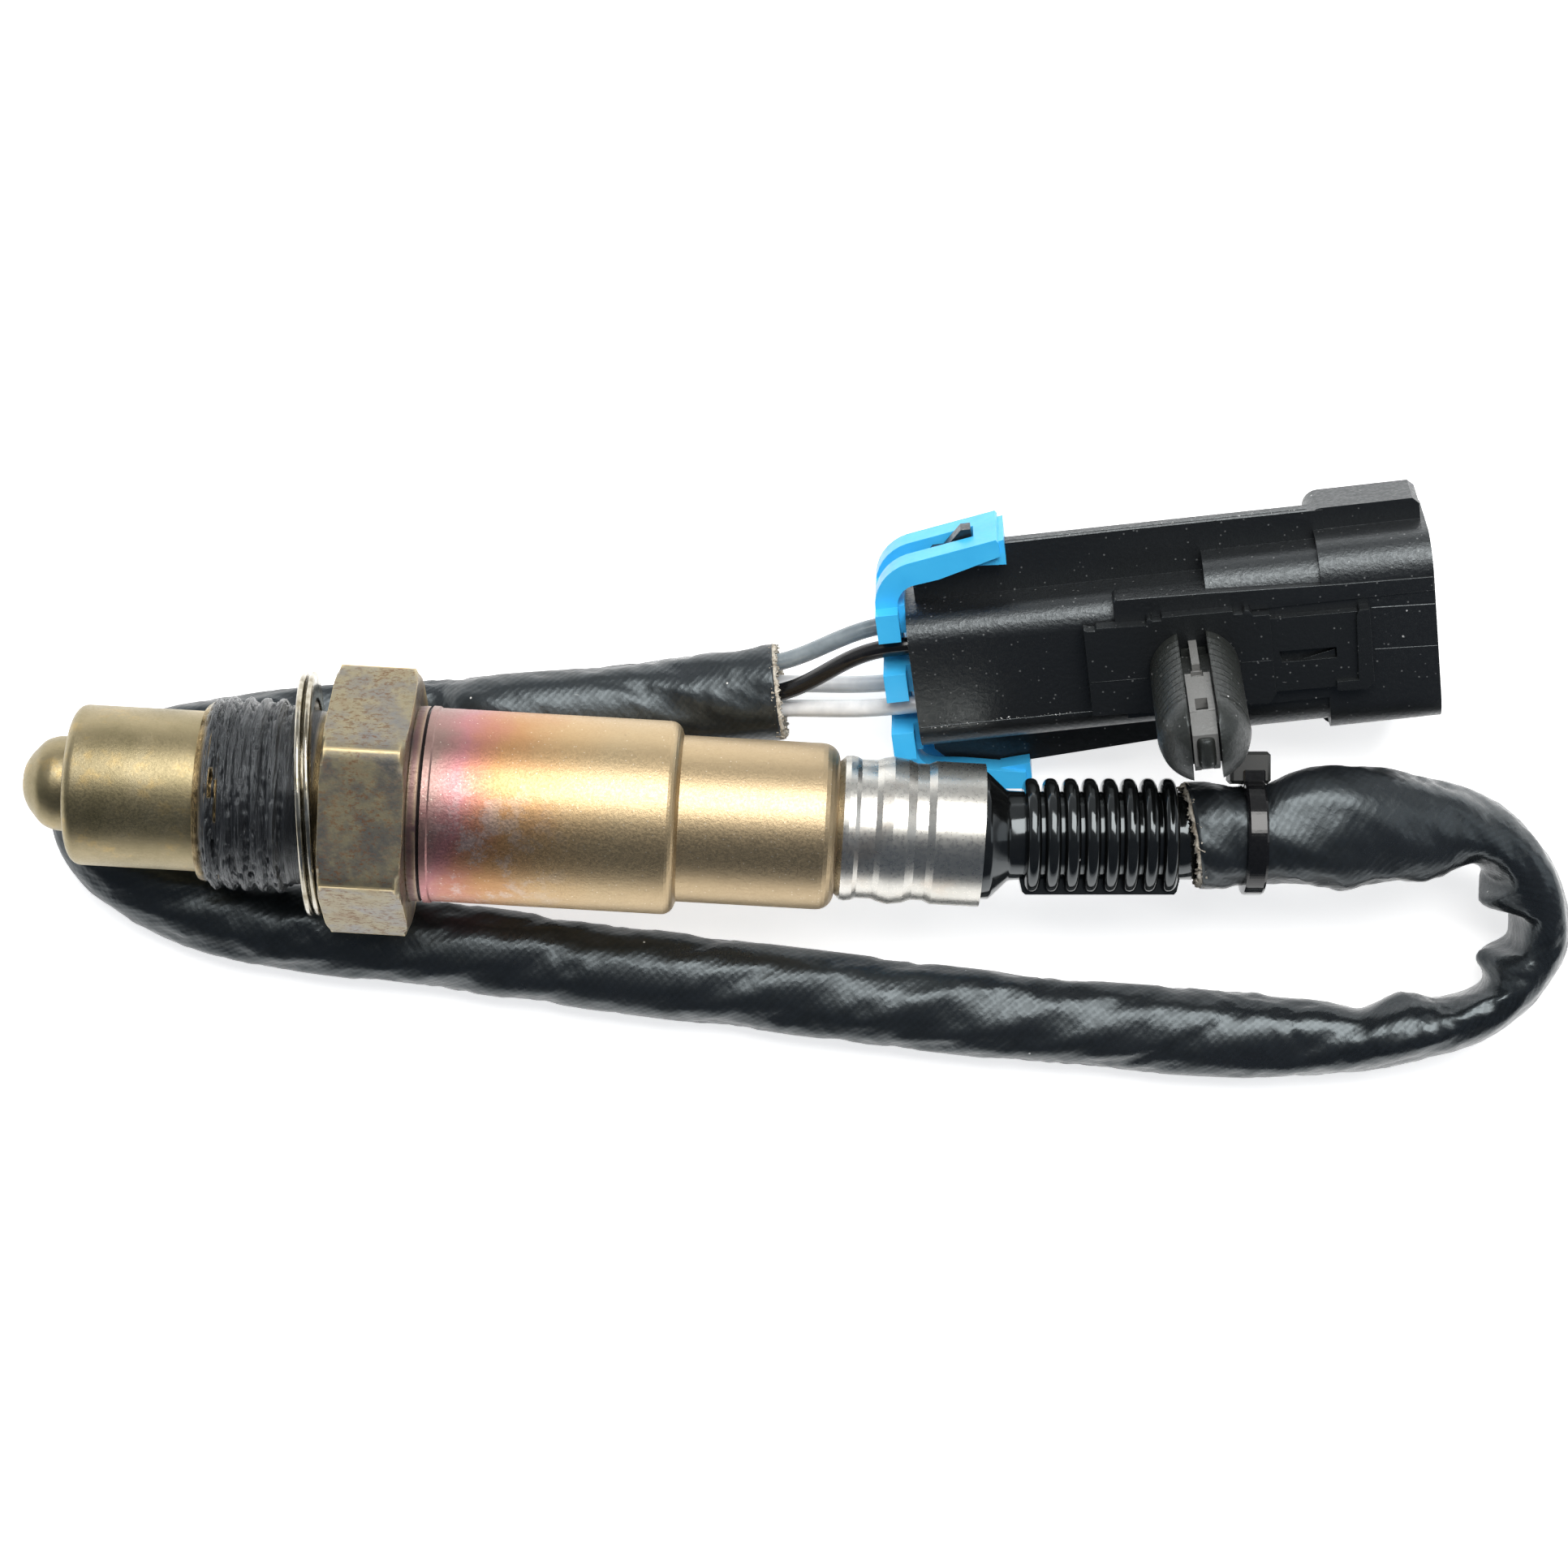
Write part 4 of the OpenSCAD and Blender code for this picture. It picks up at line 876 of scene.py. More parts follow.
def build_wires():
    """Four insulated wires, each with its tail in the boot and its free length to the plug."""
    spread, across, up = 1.6, 3.05, 2.6  # from the middle, in the grommet and in the plug
    holder, grommet, mouth, deep = 42, 58, -1.5, 8.6
    for name, (start, (v, w)) in WIRES.items():
        y, z = v * spread, w * spread
        tail = [Vector((x, y, z)) for x in (holder, grommet, CRIMP_END)] + [boot_point(S_BOOT_END - 0.3, y, z)]
        begin, enter = Vector(start), plug_point(mouth, v * across, w * up)
        axis = (plug_point(1, 0, 0) - plug_point(0, 0, 0)).normalized()
        straight = enter - begin
        lead = (straight.normalized() * 0.75 + Vector((0.25, 0, 0))).normalized() * straight.length * 0.36
        p1, p2 = begin + lead, enter - axis * straight.length * 0.40
        free = [begin + Vector((-4.5, -0.9, -0.2))]
        for k in range(25):
            f = k / 24
            free.append(begin * (1 - f) ** 3 + p1 * 3 * f * (1 - f) ** 2 + p2 * 3 * f * f * (1 - f) + enter * f ** 3)
        free.append(plug_point(deep, v * across, w * up))
        parts = [tube(tail, 0.8, 10), tube(even(free, 0.35), mm("wire_width") / 2, 18)]
        key = "wire_white" if "white" in name else name
        settle(add_object(name + "_run", *merge(parts)), key, key, name)


def build_thread():
    """Threaded barrel and relief, with torn paste in the turns."""
    front, back, crest, relief = -11.8, -3.5, 9.0, 7.9
    pitch, deep, steps = mm("thread_pitch"), mm("thread_depth"), 190
    profile = [(-14.3, 6.95), (-14.3, 7.0), (front, 7.0), (front, 7.35)]
    profile += [(front + (back - front) * i / steps, crest) for i in range(steps + 1)]
    profile += [(-3.45, 8.35), (-3.2, 8.1), (-1.0, 8.05), (-0.4, 8.1), (0.05, 8.3)]

    def cut(x, r, a):
        if r < crest - 0.1:
            return x, r
        phase = ((x - front) / pitch - a / math.tau) % 1.0
        tooth = min(1.0, max(0.0, (0.88 - abs(phase * 2 - 1)) / 0.62))
        lead = min(1.0, max(0.0, (x - front) / 1.3))
        tail = min(1.0, max(0.0, (back - x) / 0.8))
        c, s = math.cos(a), math.sin(a)
        fill = 0.5 + 0.5 * noise.fractal(Vector((x * 1.1, c * 7, s * 7)), 0.8, 2.1, 3)
        depth = deep * (1 - 0.55 * min(1.0, max(0.0, fill * 1.05)))
        strand = noise.fractal(Vector((x * 4.2 + a * 0.3, c * 2.2, s * 2.2)), 0.7, 2.3, 3)
        tear = max(0.0, noise.noise(Vector((x * 2.6, c * 9, s * 9))) - 0.25)
        radius = crest - 0.08 - depth * (1 - tooth) + 0.19 * strand - 0.9 * tear
        return x, min(crest, relief + (radius - relief) * (0.25 + 0.75 * lead) * (0.5 + 0.5 * tail))

    settle(add_object("shell_thread", *lathe(profile, 200, cut)), "Thread", "shell_steel")


def build_hexagon():
    """Hexagon with turned chamfers and rounded corners, and the collar and groove behind it."""
    across, height, roll, per_side, sixth = mm("hexagon_across"), 7.6, math.radians(8.5), 26, math.radians(60)
    corner, sharpness = 12.56, 18.0
    ring = [sixth * s + roll + sixth * (k / per_side) for s in range(6) for k in range(per_side)]
    # place along and greatest radius, from the seat to the collar
    stations = [
        (0.0, 8.2), (0.0, 10.4), (0.0, 10.6), (0.0, 11.55), (0.07, 11.85), (0.30, 12.75), (0.6, 13.3),
        (height - 0.75, 13.3), (height - 0.45, 12.75), (height - 0.15, 11.85), (height - 0.05, 11.6),
        (height, 11.3), (height, 9.1),
    ]

    def outline(a):
        """Radius of the hexagon at an angle: its flats, joined softly to the round corners."""
        flat = across / 2 / math.cos((a - roll) % sixth - sixth / 2)
        return -math.log(math.exp(-sharpness * flat / 2) + math.exp(-sharpness * corner / 2)) * 2 / sharpness

    verts, uvs = [], []
    for x, cap in stations:
        for i, a in enumerate(ring):
            c, s = math.cos(a), math.sin(a)
            worn = 0.008 * noise.noise(Vector((x * .5, c * 4, s * 4)))
            r = min(outline(a), cap) - max(0.0, worn)
            verts.append(Vector((x, r * c, r * s)))
            uvs.append((x, i / len(ring)))
    collar = [
        (7.55, 9.1), (7.6, 8.95), (7.7, 9.02), (8.5, 9.05), (8.62, 8.98), (8.66, 8.82), (8.78, 8.76), (8.88, 8.80),
        (8.9, 8.9), (8.9, 8.0), (14.0, 8.0), (15.0, 7.4), (15.0, 3.2),
    ]
    parts = [(verts, bands(len(stations), len(ring)), uvs), lathe(collar, 128)]
    hexagon = add_object("shell_hexagon", *merge(parts))
    split_edges(settle(hexagon, "Hexagon", "shell_steel", "sensor_shell"), 28)


def build_gasket():
    """Folded two-lip ring, leaning in the relief."""
    centre = Vector((-1.95, 0.36, 0))
    turn = Matrix.Rotation(size("gasket_lean"), 3, "Z") @ Matrix.Rotation(math.radians(2.6), 3, "Y")
    lip, outer, bore = 0.42, mm("gasket_width") / 2, 8.75
    profile = [(-0.65, bore), (-0.86, bore + 0.12), (-0.95, bore + 0.35)]
    for side in (-1, 1):
        for k in range(11):
            a = math.radians(-90 + 18 * k)
            profile.append((side * 0.53 + math.sin(a) * lip, outer - lip + math.cos(a) * lip))
        if side == -1:
            profile += [(-0.11, 10.7), (-0.06, 10.1), (0.06, 10.1), (0.11, 10.7)]
    profile += [(0.95, bore + 0.35), (0.86, bore + 0.12), (0.65, bore), (-0.65, bore)]

    def worn(x, r, a):
        dent = max(0.0, noise.noise(Vector((math.cos(a) * 5, math.sin(a) * 5, x))))
        return x * 0.74 + 0.035 * math.sin(3 * a + 1), r - 0.05 * dent

    verts, faces, uvs = lathe(profile, 160, worn)
    ring = add_object("folded_gasket", [centre + turn @ v for v in verts], faces, uvs)
    settle(ring, "Gasket", "gasket_nickel", "gasket_ring")


def build_tip():
    """Outer tube with its tight end radius, and the inner tube's domed cap."""
    end, cad_end, radius, fillet, cad_fillet = -23.95, -24.9, 7.425, 1.2, 2.0
    # radii at the cap, round the gas holes and at the fillet: CAD's and the new ones
    steps = ((4.4, 4.4), (4.47, 4.92), (5.35, 5.80), (radius - cad_fillet, radius - fillet), (radius, radius))

    def tighten(bm):
        for v in bm.verts:
            x, r = v.co.x / MM, math.hypot(v.co.y, v.co.z) / MM
            if x > cad_end + cad_fillet or r < 4.3:
                continue
            goal = r
            for (a0, b0), (a1, b1) in zip(steps, steps[1:]):
                if a0 <= r <= a1:
                    goal = b0 + (b1 - b0) * (r - a0) / (a1 - a0)
            share = (x - cad_end) / cad_fillet
            v.co.x = (end + share * (cad_end + cad_fillet - end)) * MM
            v.co.y *= goal / r
            v.co.z *= goal / r

    def shorten(bm):
        everything = bm.verts[:] + bm.edges[:] + bm.faces[:]
        cut = Vector((end + 0.5, 0, 0)) * MM
        bmesh.ops.bisect_plane(bm, geom=everything, plane_co=cut, plane_no=(-1, 0, 0), clear_outer=True)

    for node, name, change in (
        ("outer_protection_tube", "tip_tube", tighten), ("inner_protection_tube", "inner_tube", shorten),
    ):
        settle(split_edges(cad_copy(node, name, change), 32), "Tube", "tube_steel", node)
    tip = -mm("tip_reach")
    dome = catmull([
        (0, 0.02), (0.08, 0.9), (0.26, 1.7), (0.74, 2.55), (1.28, 3.2), (2.0, 3.92), (2.9, 4.3), (3.7, 4.4), (5.2, 4.4),
    ], 5)
    inside = [(5.2, 4.0), (2.4, 3.8), (0.9, 2.0), (0.6, 0.02)]
    profile = [(tip + x, r) for x, r in dome + inside]
    settle(add_object("tip_cap", *lathe(profile, 72)), "Tube", "tube_steel")


def build_boot():
    """Rubber boot: cone, full round bellows ribs and the seam web that joins them on one side."""
    neck, bore, seat, first = 4.15, 3.3, -0.9, 4.55
    pitch, count, high, half = mm("rib_pitch"), size("rib_count"), mm("rib_height"), 0.75
    last = first + pitch * (count - 1)
    profile = [(seat, bore + 0.1), (seat, 5.9), (0.5, 5.9), (0.75, 5.72), (2.3, 4.24), (2.55, neck)]
    for k in range(count):
        for n in range(17):
            a = math.pi * (n / 16 - 0.5)
            swell = math.copysign(abs(math.sin(a)) ** 0.80, a)
            lift = max(0.0, math.cos(a)) ** 0.70
            profile.append((first + pitch * k + half * swell, neck - 0.06 + high * lift))
    profile += [
        (last + 1.05, neck - 0.05), (S_BOOT_END - 0.15, neck - 0.05), (S_BOOT_END, neck - 0.2), (S_BOOT_END, bore),
        (seat, bore), (seat, bore + 0.1),
    ]
    verts, faces, uvs = lathe(profile, 96)
    outline = [
        (first - 1.2, 3.7), (last + 1.15, 3.7), (last + 0.8, 5.2), (last + 0.55, 5.46), (first - 0.55, 5.46),
        (first - 0.85, 5.2),
    ]
    seam = [boot_point(s, -w, h) for h in (-0.75, 0.75) for s, w in outline]
    sheet = bands(2, len(outline)) + lids(2, len(outline))
    parts = [([boot_point(*v) for v in verts], faces, uvs), (seam, sheet, [(0.0, 0.0)] * len(seam))]
    split_edges(settle(add_object("bellows_boot", *merge(parts)), "Boot", "boot_rubber", "rubber_boot"), 48)


def boot_block(s0, s1, w0, w1, h0, h1, cut, tag):
    """Box in the boot's frame with its outer edges cut back."""
    pts = []
    for s, e in ((s0, cut), (s0 + cut, 0.0), (s1 - cut, 0.0), (s1, cut)):
        for w, h in (
            (w0 + e, h0 + cut), (w0 + e, h1 - cut), (w0 + cut, h1 - e), (w1 - cut, h1 - e),
            (w1 - e, h1 - cut), (w1 - e, h0 + cut), (w1 - cut, h0 + e), (w0 + cut, h0 + e),
        ):
            pts.append(boot_point(s, w, h))
    return pts, bands(4, 8) + lids(4, 8), [(0.0, tag)] * len(pts)


def build_tie():
    """Strap round the cable with its ratchet head."""
    inner, outer, width, steps = 4.62, 5.5, mm("tie_width"), 120
    section = [(-0.5, 0.0), (-0.46, 0.9), (-0.36, 1.0), (0.36, 1.0), (0.46, 0.9), (0.5, 0.0)]
    m = len(section)
    verts, uvs, faces = [], [], []
    for i in range(steps):
        a = math.tau * i / steps
        j = (i + 1) % steps
        for k, (s, r) in enumerate(section):
            radius = inner + (outer - inner) * r
            verts.append(boot_point(S_TIE + s * width, radius * math.cos(a), radius * math.sin(a)))
            uvs.append((i / steps, s))
            q = (k + 1) % m
            faces.append((i * m + k, j * m + k, j * m + q, i * m + q))
    head = boot_block(S_TIE - 2.20, S_TIE + 1.55, 4.75, 7.75, -1.86, 1.86, 0.32, 3.0)
    root = boot_block(S_TIE - 1.0, S_TIE + 1.0, 2.6, 6.05, 1.2, 2.2, 0.12, 0.0)
    tie = add_object("tie_strap", *merge([(verts, faces, uvs), head, root]), smooth=False)
    settle(tie, "Tie", "tie_black", "cable_tie")


def prism(outline, w0, w1, hole=()):
    """Plate in the plug's frame from a (u, v) outline, with an optional hole."""
    loops = [outline] + ([hole] if hole else [])
    flat = [p for loop in loops for p in loop]
    n = len(flat)
    verts = [plug_point(u, v, w0) for u, v in flat] + [plug_point(u, v, w1) for u, v in flat]
    faces = []
    for tri in tessellate_polygon([[Vector((u, v, 0)) for u, v in loop] for loop in loops]):
        a, b, c = (Vector(flat[k]) for k in tri)
        if (b - a).cross(c - a) < 0:
            tri = tri[::-1]
        faces.append(tuple(k + n for k in tri))
        faces.append(tuple(reversed(tri)))
    base = 0
    for order, loop in enumerate(loops):
        area = sum(p[0] * q[1] - q[0] * p[1] for p, q in zip(loop, loop[1:] + loop[:1]))
        for k in range(len(loop)):
            a, b = base + k, base + (k + 1) % len(loop)
            quad = (a, b, b + n, a + n)
            faces.append(quad if (area > 0) == (order == 0) else quad[::-1])
        base += len(loop)
    return verts, faces, [(0.0, 0.0)] * len(verts)


def brick(u0, u1, v0, v1, w0, w1, tag=0.0):
    """Box in the plug's frame."""
    verts, faces, _ = prism([(u0, v0), (u1, v0), (u1, v1), (u0, v1)], w0, w1)
    return verts, faces, [(0.0, tag)] * len(verts)


def stem_shells(u_stem, base):
    """The two ribbed halves of the clip's stem with their rounded nose, either side of the slot."""
    radius, slot, ribbed, ribs = 4.15, 1.3, 13.55, size("stem_ribs")
    pitch = ribbed / ribs
    rows = [(-0.2, radius - 0.2)]
    for k in range(ribs):
        w = k * pitch
        rows += [(w, radius - 0.2), (w + 0.42, radius - 0.02)]
        rows += [(w + 0.68, radius - 0.02), (w + pitch - 0.08, radius - 0.2)]
    rows += [(ribbed + radius * math.sin(math.radians(f)), radius * math.cos(math.radians(f))) for f in range(0, 69, 6)]
    rows.append((17.45, 1.38))
    parts, arc = [], 26
    for side in (-1, 1):
        verts, uvs = [], []
        for w, r in rows:
            # shallow flats that the mould leaves on the nose
            flat = 0.35 * max(0.0, min(1.0, (w - ribbed) / 2.4))
            reach = math.acos(min(1.0, slot / r))
            for k in range(arc + 1):
                a = -reach + 2 * reach * k / arc
                cut = r * (1 - flat * max(0.0, math.cos(3 * a)) * 0.28)
                u, v = max(slot, cut * math.cos(a)), cut * math.sin(a)
                verts.append(plug_point(u_stem + side * u, v, base + w))
                uvs.append((w, 0.0))
        n = arc + 1
        faces = bands(len(rows), n) + lids(len(rows), n)
        parts.append((verts, faces if side == 1 else [f[::-1] for f in faces], uvs))
    return parts


def build_plug():
    """Housing and lock with softened edges, the rail beside the clip, mould lines and specks of flash."""

    def join_flats(bm):
        bmesh.ops.dissolve_limit(bm, angle_limit=math.radians(0.6), verts=bm.verts, edges=bm.edges)

    for node, name, look, slot, width in (
        ("connector_housing", "plug_housing", "Housing", "housing_black", 0.24),
        ("terminal_lock", "plug_lock", "Lock", "lock_blue", 0.28),
    ):
        settle(rounded(cad_copy(node, name, join_flats), width), look, slot, node)

    rail = prism([
        (19.1, 4.7), (48.1, 4.7), (48.1, 6.1), (39.8, 6.35), (27.8, 6.9), (20.0, 7.2), (19.3, 7.15), (19.1, 6.9),
    ], 4.2, 6.55)
    rounded(settle(add_object("plug_rail", *rail), "Housing", "housing_black"), 0.2)
    flash = []
    for ends, r in (
        (((5.5, 11.5, 0.74), (20, 11.5, 0.74), (37.6, 11.35, 0.74)), 0.10),
        (((5.5, 11.5, 0.1), (37.6, 11.35, 0.1)), 0.08),
        (((42.4, 3.6, 6.4), (48.1, 3.3, 6.4)), 0.06),
        (((0.2, -3.95, 5.86), (22, -4.2, 5.86)), 0.07),
        (((42.4, -0.6, 6.4), (48.1, -0.9, 6.4)), 0.035),
    ):
        flash.append(tube([plug_point(*p) for p in ends], r, 6))
    rng = random.Random(23)
    spots = [(rng.uniform(0.3, 22), -3.98 + rng.gauss(0, 0.10), 5.9) for _ in range(70)]
    spots += [(rng.uniform(0.02, 0.25), rng.uniform(-3.6, 6.0), 5.82) for _ in range(26)]
    spots += [(rng.uniform(6, 37), 11.5, rng.uniform(-0.1, 0.8)) for _ in range(40)]
    for spot in spots:
        wide = rng.uniform(0.03, 0.085)
        centre = plug_point(*spot)
        speck = [centre + Vector((rng.gauss(0, wide), rng.gauss(0, wide), rng.gauss(0, wide * 0.7))) for _ in range(4)]
        flash.append((speck, [(0, 1, 2), (0, 3, 1), (1, 3, 2), (0, 2, 3)], [(0.0, FLASH)] * 4))
    settle(add_object("plug_flash", *merge(flash), smooth=False), "Housing", "housing_black")


def build_clip():
    """Clip plate with its stepped edge, tongue and end tab, and the slotted stem with its pockets and nub."""
    seat, top = 6.38, 7.7
    plate = prism([
        (16.2, -3.75), (32.4, -4.3), (32.75, -3.9), (33.1, -3.5), (33.1, 4.6), (31.6, 4.65), (31.3, 5.2),
        (30.9, 5.3), (30.7, 4.95), (29.9, 5.0), (29.8, 5.35), (23.4, 5.5), (23.3, 5.15), (22.5, 5.2), (22.3, 5.5),
        (22.0, 5.4), (21.9, 4.85), (17.4, 5.1), (17.2, 4.8), (16.6, 4.85), (16.2, 5.05),
    ], seat, top)
    slot = [(33.9, -0.5), (38.9, -0.62), (38.9, 0.45), (33.7, 0.62)]
    tongue = prism([(33.0, -3.4), (41.6, -3.6), (41.6, 3.8), (33.0, 4.0)], seat, top - 0.42, slot)
    tab = prism([
        (38.7, -3.75), (41.4, -3.9), (42.1, -3.2), (42.1, 4.1), (41.2, 4.15), (40.9, 3.6), (40.7, -2.9), (38.7, -2.85),
    ], seat, top + 0.05)
    foot = brick(19.5, 40.7, -2.15, 2.15, 5.45, 6.5)
    ramp = prism([(35.6, -0.6), (38.8, -0.6), (38.8, 0.1)], seat, 6.9)
    plates = [plate, tongue, tab, foot, ramp]
    for ends in (((16.3, -0.3), (21.6, -0.45)), ((30.2, 0.1), (33.0, 0.0))):
        plates.append(tube([plug_point(u, v, top) for u, v in ends], 0.05, 6))
    rounded(settle(add_object("push_clip", *merge(plates)), "Clip", "clip_black", "mounting_clip"), 0.11)

    # stem: two ribbed halves, the web with its pockets between them, a wedge and a round nub at the end
    u, base, wide = 25.9, top, 1.12
    parts = stem_shells(u, base - 0.05)
    for u0, u1, v, w0, w1, tag in (
        (-0.36, 0.36, 2.9, -0.2, 5.1, FLASH), (-1.31, 1.31, 1.9, 1.0, 15.2, 0.0), (-wide, -0.55, 2.9, 6.9, 14.6, FLASH),
        (0.55, wide, 2.9, 6.9, 14.6, FLASH), (-0.56, 0.56, 2.88, 7.6, 12.0, FLASH), (-0.5, 0.5, 2.55, 5.7, 5.95, FLASH),
        (-0.5, 0.5, 2.55, 6.6, 6.85, FLASH), (-wide, wide, 2.6, 0.9, 1.2, 0.0),
    ):
        parts.append(brick(u + u0, u + u1, -v, v, base + w0, base + w1, tag))
    wedge = [(-2.9, 14.3), (2.9, 14.3), (2.85, 14.6), (1.5, 16.5), (-1.5, 16.5), (-2.85, 14.6)]
    verts = [plug_point(u + side, v, base + w) for side in (-wide, wide) for v, w in wedge]
    parts.append((verts, [f[::-1] for f in bands(2, 6)] + [f[::-1] for f in lids(2, 6)], [(0.0, FLASH)] * 12))
    arc = [math.radians(f) for f in range(-90, 91, 12)]
    nub = [plug_point(u, 1.45 * math.sin(a) - 0.2, base + 16.45) for a in arc]
    verts, faces, _ = tube(nub, lambda t: max(0.05, 0.82 * math.sqrt(max(0.0, 1 - (2 * t - 1) ** 4))), 20)
    parts.append((verts, faces, [(0.0, 0.0)] * len(verts)))
    rounded(settle(add_object("push_clip_stem", *merge(parts)), "Stem", "clip_black"), 0.06, 1, 40)


def declare_cord():
    """Gathers the free cord's path and the pieces that are on it, and does nothing more with them."""
    path = [[c * MM for c in r[:3]] for r in cable_rows()]
    names = ["cable_fray", "tie_strap", *(wire + "_run" for wire in WIRES)]
    names += ["plug_housing", "plug_lock", "plug_rail", "plug_flash", "push_clip", "push_clip_stem"]
    on_it = [bpy.data.objects[name] for name in names]
    on_it += [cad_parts[f"{kind}_{k}"] for kind in ("terminal", "wire_seal") for k in range(1, 5)]


def dress_nodes():
    """New finishes for the CAD nodes that keep their own shape."""
    plan = {
        "protective_sleeve": "Sleeve", "crimp_sleeve": "Crimp", "grommet": "Grommet", "talc_ring": "Talc",
        "sensing_element": "Ceramic", "lower_insulator": "Ceramic", "upper_insulator": "Ceramic",
        "contact_holder": "Ceramic",
    }
    for k in range(1, 5):
        plan.update({f"contact_spring_{k}": "Contact", f"terminal_{k}": "Contact", f"wire_seal_{k}": "Seal"})
    for node, name in plan.items():
        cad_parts[node].material_slots[0].material = bpy.data.materials["Sensor." + name]


# ---- stage ----

def add_camera(scene):
    """The photograph's camera: straight down, turned as the boot leans."""
    turn = Matrix.Rotation(BOOT_LEAN, 3, "Z")
    place = turn @ Vector((*CAMERA_AIM, 0))
    place.z = CAMERA_HEIGHT
    data = bpy.data.cameras.new("photo_camera")
    data.sensor_width, data.lens = 36.0, 36 * PHOTO_SCALE * CAMERA_HEIGHT / PHOTO_SIZE
    data.clip_start, data.clip_end = 0.01, 20
    scene.camera = add_to_scene("photo_camera", data)
    scene.camera.matrix_world = Matrix.Translation(place * MM) @ turn.to_4x4()


def add_lights(settings):
    """One wide light overhead and a weak one at each side."""
    warm, cold, side = (1, 0.985, 0.96), (0.93, 0.97, 1), settings.fill_power
    for name, where, aim, wide, deep, power, tone in (
        ("overhead_light", (0.12, 0.42, 0.80), (0.04, 0.0, 0.0), 0.72, 0.60, settings.key_power, warm),
        ("left_light", (-0.75, 0.10, 0.45), (0.03, 0, 0), 0.5, 0.6, side * 0.5, cold),
        ("right_light", (0.85, 0.15, 0.45), (0.05, 0, 0), 0.5, 0.6, side * 1.5, cold),
    ):
        light = bpy.data.lights.new(name, "AREA")
        light.shape, light.size, light.size_y = "RECTANGLE", wide, deep
        light.energy, light.color = power, tone
        obj = add_to_scene(name, light)
        obj.location = where
        obj.rotation_euler = (Vector(aim) - Vector(where)).to_track_quat("-Z", "Y").to_euler()


def add_world(scene, strength):
    """Even surrounding light, darker in front and pale near the floor."""
    world = bpy.data.worlds.new("soft_world")
    scene.world = world
    world.use_nodes = True
    web, ground = Web(world.node_tree), world.node_tree.nodes["Background"]
    way = web.add("ShaderNodeTexCoord").outputs["Generated"]
    around = web.ramp(web.line(web.axis(way, 1), -0.9, 0.9), [
        (0.0, (.085, .10, .125)), (0.42, (.11, .125, .15)), (0.55, (.23, .24, .25)), (0.75, (.40, .41, .42)),
        (1.0, (.46, .47, .48)),
    ])
    low = web.span(web.axis(way, 2), 0.16, 0.02)
    web.join(web.mix(low, around, (.93, .94, .95)), ground, "Color")
    ground.inputs["Strength"].default_value = strength


def add_floor(glow):
    """Pale floor that the camera and metal see nearly white."""
    web, shader = new_material(
        "Floor", Roughness=0.85, Specular_IOR_Level=0.2, Emission_Color=(1, 1, 1, 1))
    soft = web.noise(web.place(), 3.0, 2.0)
    web.join(web.ramp(soft, [(0.3, (.90, .90, .90)), (0.7, (.93, .93, .93))]), shader, "Base Color")
    rays = web.add("ShaderNodeLightPath").outputs
    seen = web.math("MAXIMUM", rays["Is Camera Ray"], rays["Is Glossy Ray"])
    web.join(web.times(seen, glow), shader, "Emission Strength")
    n, side = 24, 6000
    verts = [
        ((i / n - 0.5) * side, (j / n - 0.5) * side, REST_Z - 0.02) for i in range(n + 1) for j in range(n + 1)
    ]
    faces = [
        (k, k + n + 1, k + n + 2, k + 1) for i in range(n) for k in range(i * (n + 1), i * (n + 1) + n)
    ]
    floor = add_object("floor", verts, faces)
    floor.data.materials.append(bpy.data.materials["Sensor.Floor"])


# ---- operators and panel ----

class SENSOR_OT_make_node_groups(bpy.types.Operator):
    """Add the shared grain, dust and weave node groups"""
    bl_idname = "sensor.make_node_groups"
    bl_label = "Make Node Groups"

    def execute(self, context):
        grain_group()
        dust_group()
        weave_group()
        return {"FINISHED"}


class SENSOR_OT_make_finishes(bpy.types.Operator):
    """Add the finish of every piece, in the colours of the panel"""
    bl_idname = "sensor.make_finishes"
    bl_label = "Make Finishes"

    def execute(self, context):
        make_finishes()
        return {"FINISHED"}


class SENSOR_OT_make_stage(bpy.types.Operator):
    """Add the camera, soft lights and pale floor"""
    bl_idname = "sensor.make_stage"
    bl_label = "Make Stage"

    def execute(self, context):
        settings = context.scene.sensor_stage
        add_camera(context.scene)
        add_lights(settings)
        add_world(context.scene, settings.world_strength)
        add_floor(settings.floor_glow)
        context.scene.view_settings.view_transform = "Standard"
        return {"FINISHED"}


class SENSOR_OT_build_cable(bpy.types.Operator):
    """Build the cable sleeve and its frayed ends"""
    bl_idname = "sensor.build_cable"
    bl_label = "Build Cable"

    def execute(self, context):
        build_cable()
        return {"FINISHED"}


class SENSOR_OT_build_wires(bpy.types.Operator):
    """Build the four wires"""
    bl_idname = "sensor.build_wires"
    bl_label = "Build Wires"

    def execute(self, context):
        build_wires()
        return {"FINISHED"}


class SENSOR_OT_build_tie(bpy.types.Operator):
    """Build the tie with its ratchet head"""
    bl_idname = "sensor.build_tie"
    bl_label = "Build Tie"

    def execute(self, context):
        build_tie()
        return {"FINISHED"}


class SENSOR_OT_build_plug(bpy.types.Operator):
    """Build the plug's housing, lock, rail and flash"""
    bl_idname = "sensor.build_plug"
    bl_label = "Build Plug"

    def execute(self, context):
        build_plug()
        return {"FINISHED"}


class SENSOR_OT_build_clip(bpy.types.Operator):
    """Build the clip plate and its stem"""
    bl_idname = "sensor.build_clip"
    bl_label = "Build Clip"

    def execute(self, context):
        build_clip()
        return {"FINISHED"}


class SENSOR_OT_declare_cord(bpy.types.Operator):
    bl_idname = "sensor.declare_cord"
    bl_label = "Declare Cord"

    def execute(self, context):
        declare_cord()
        return {"FINISHED"}


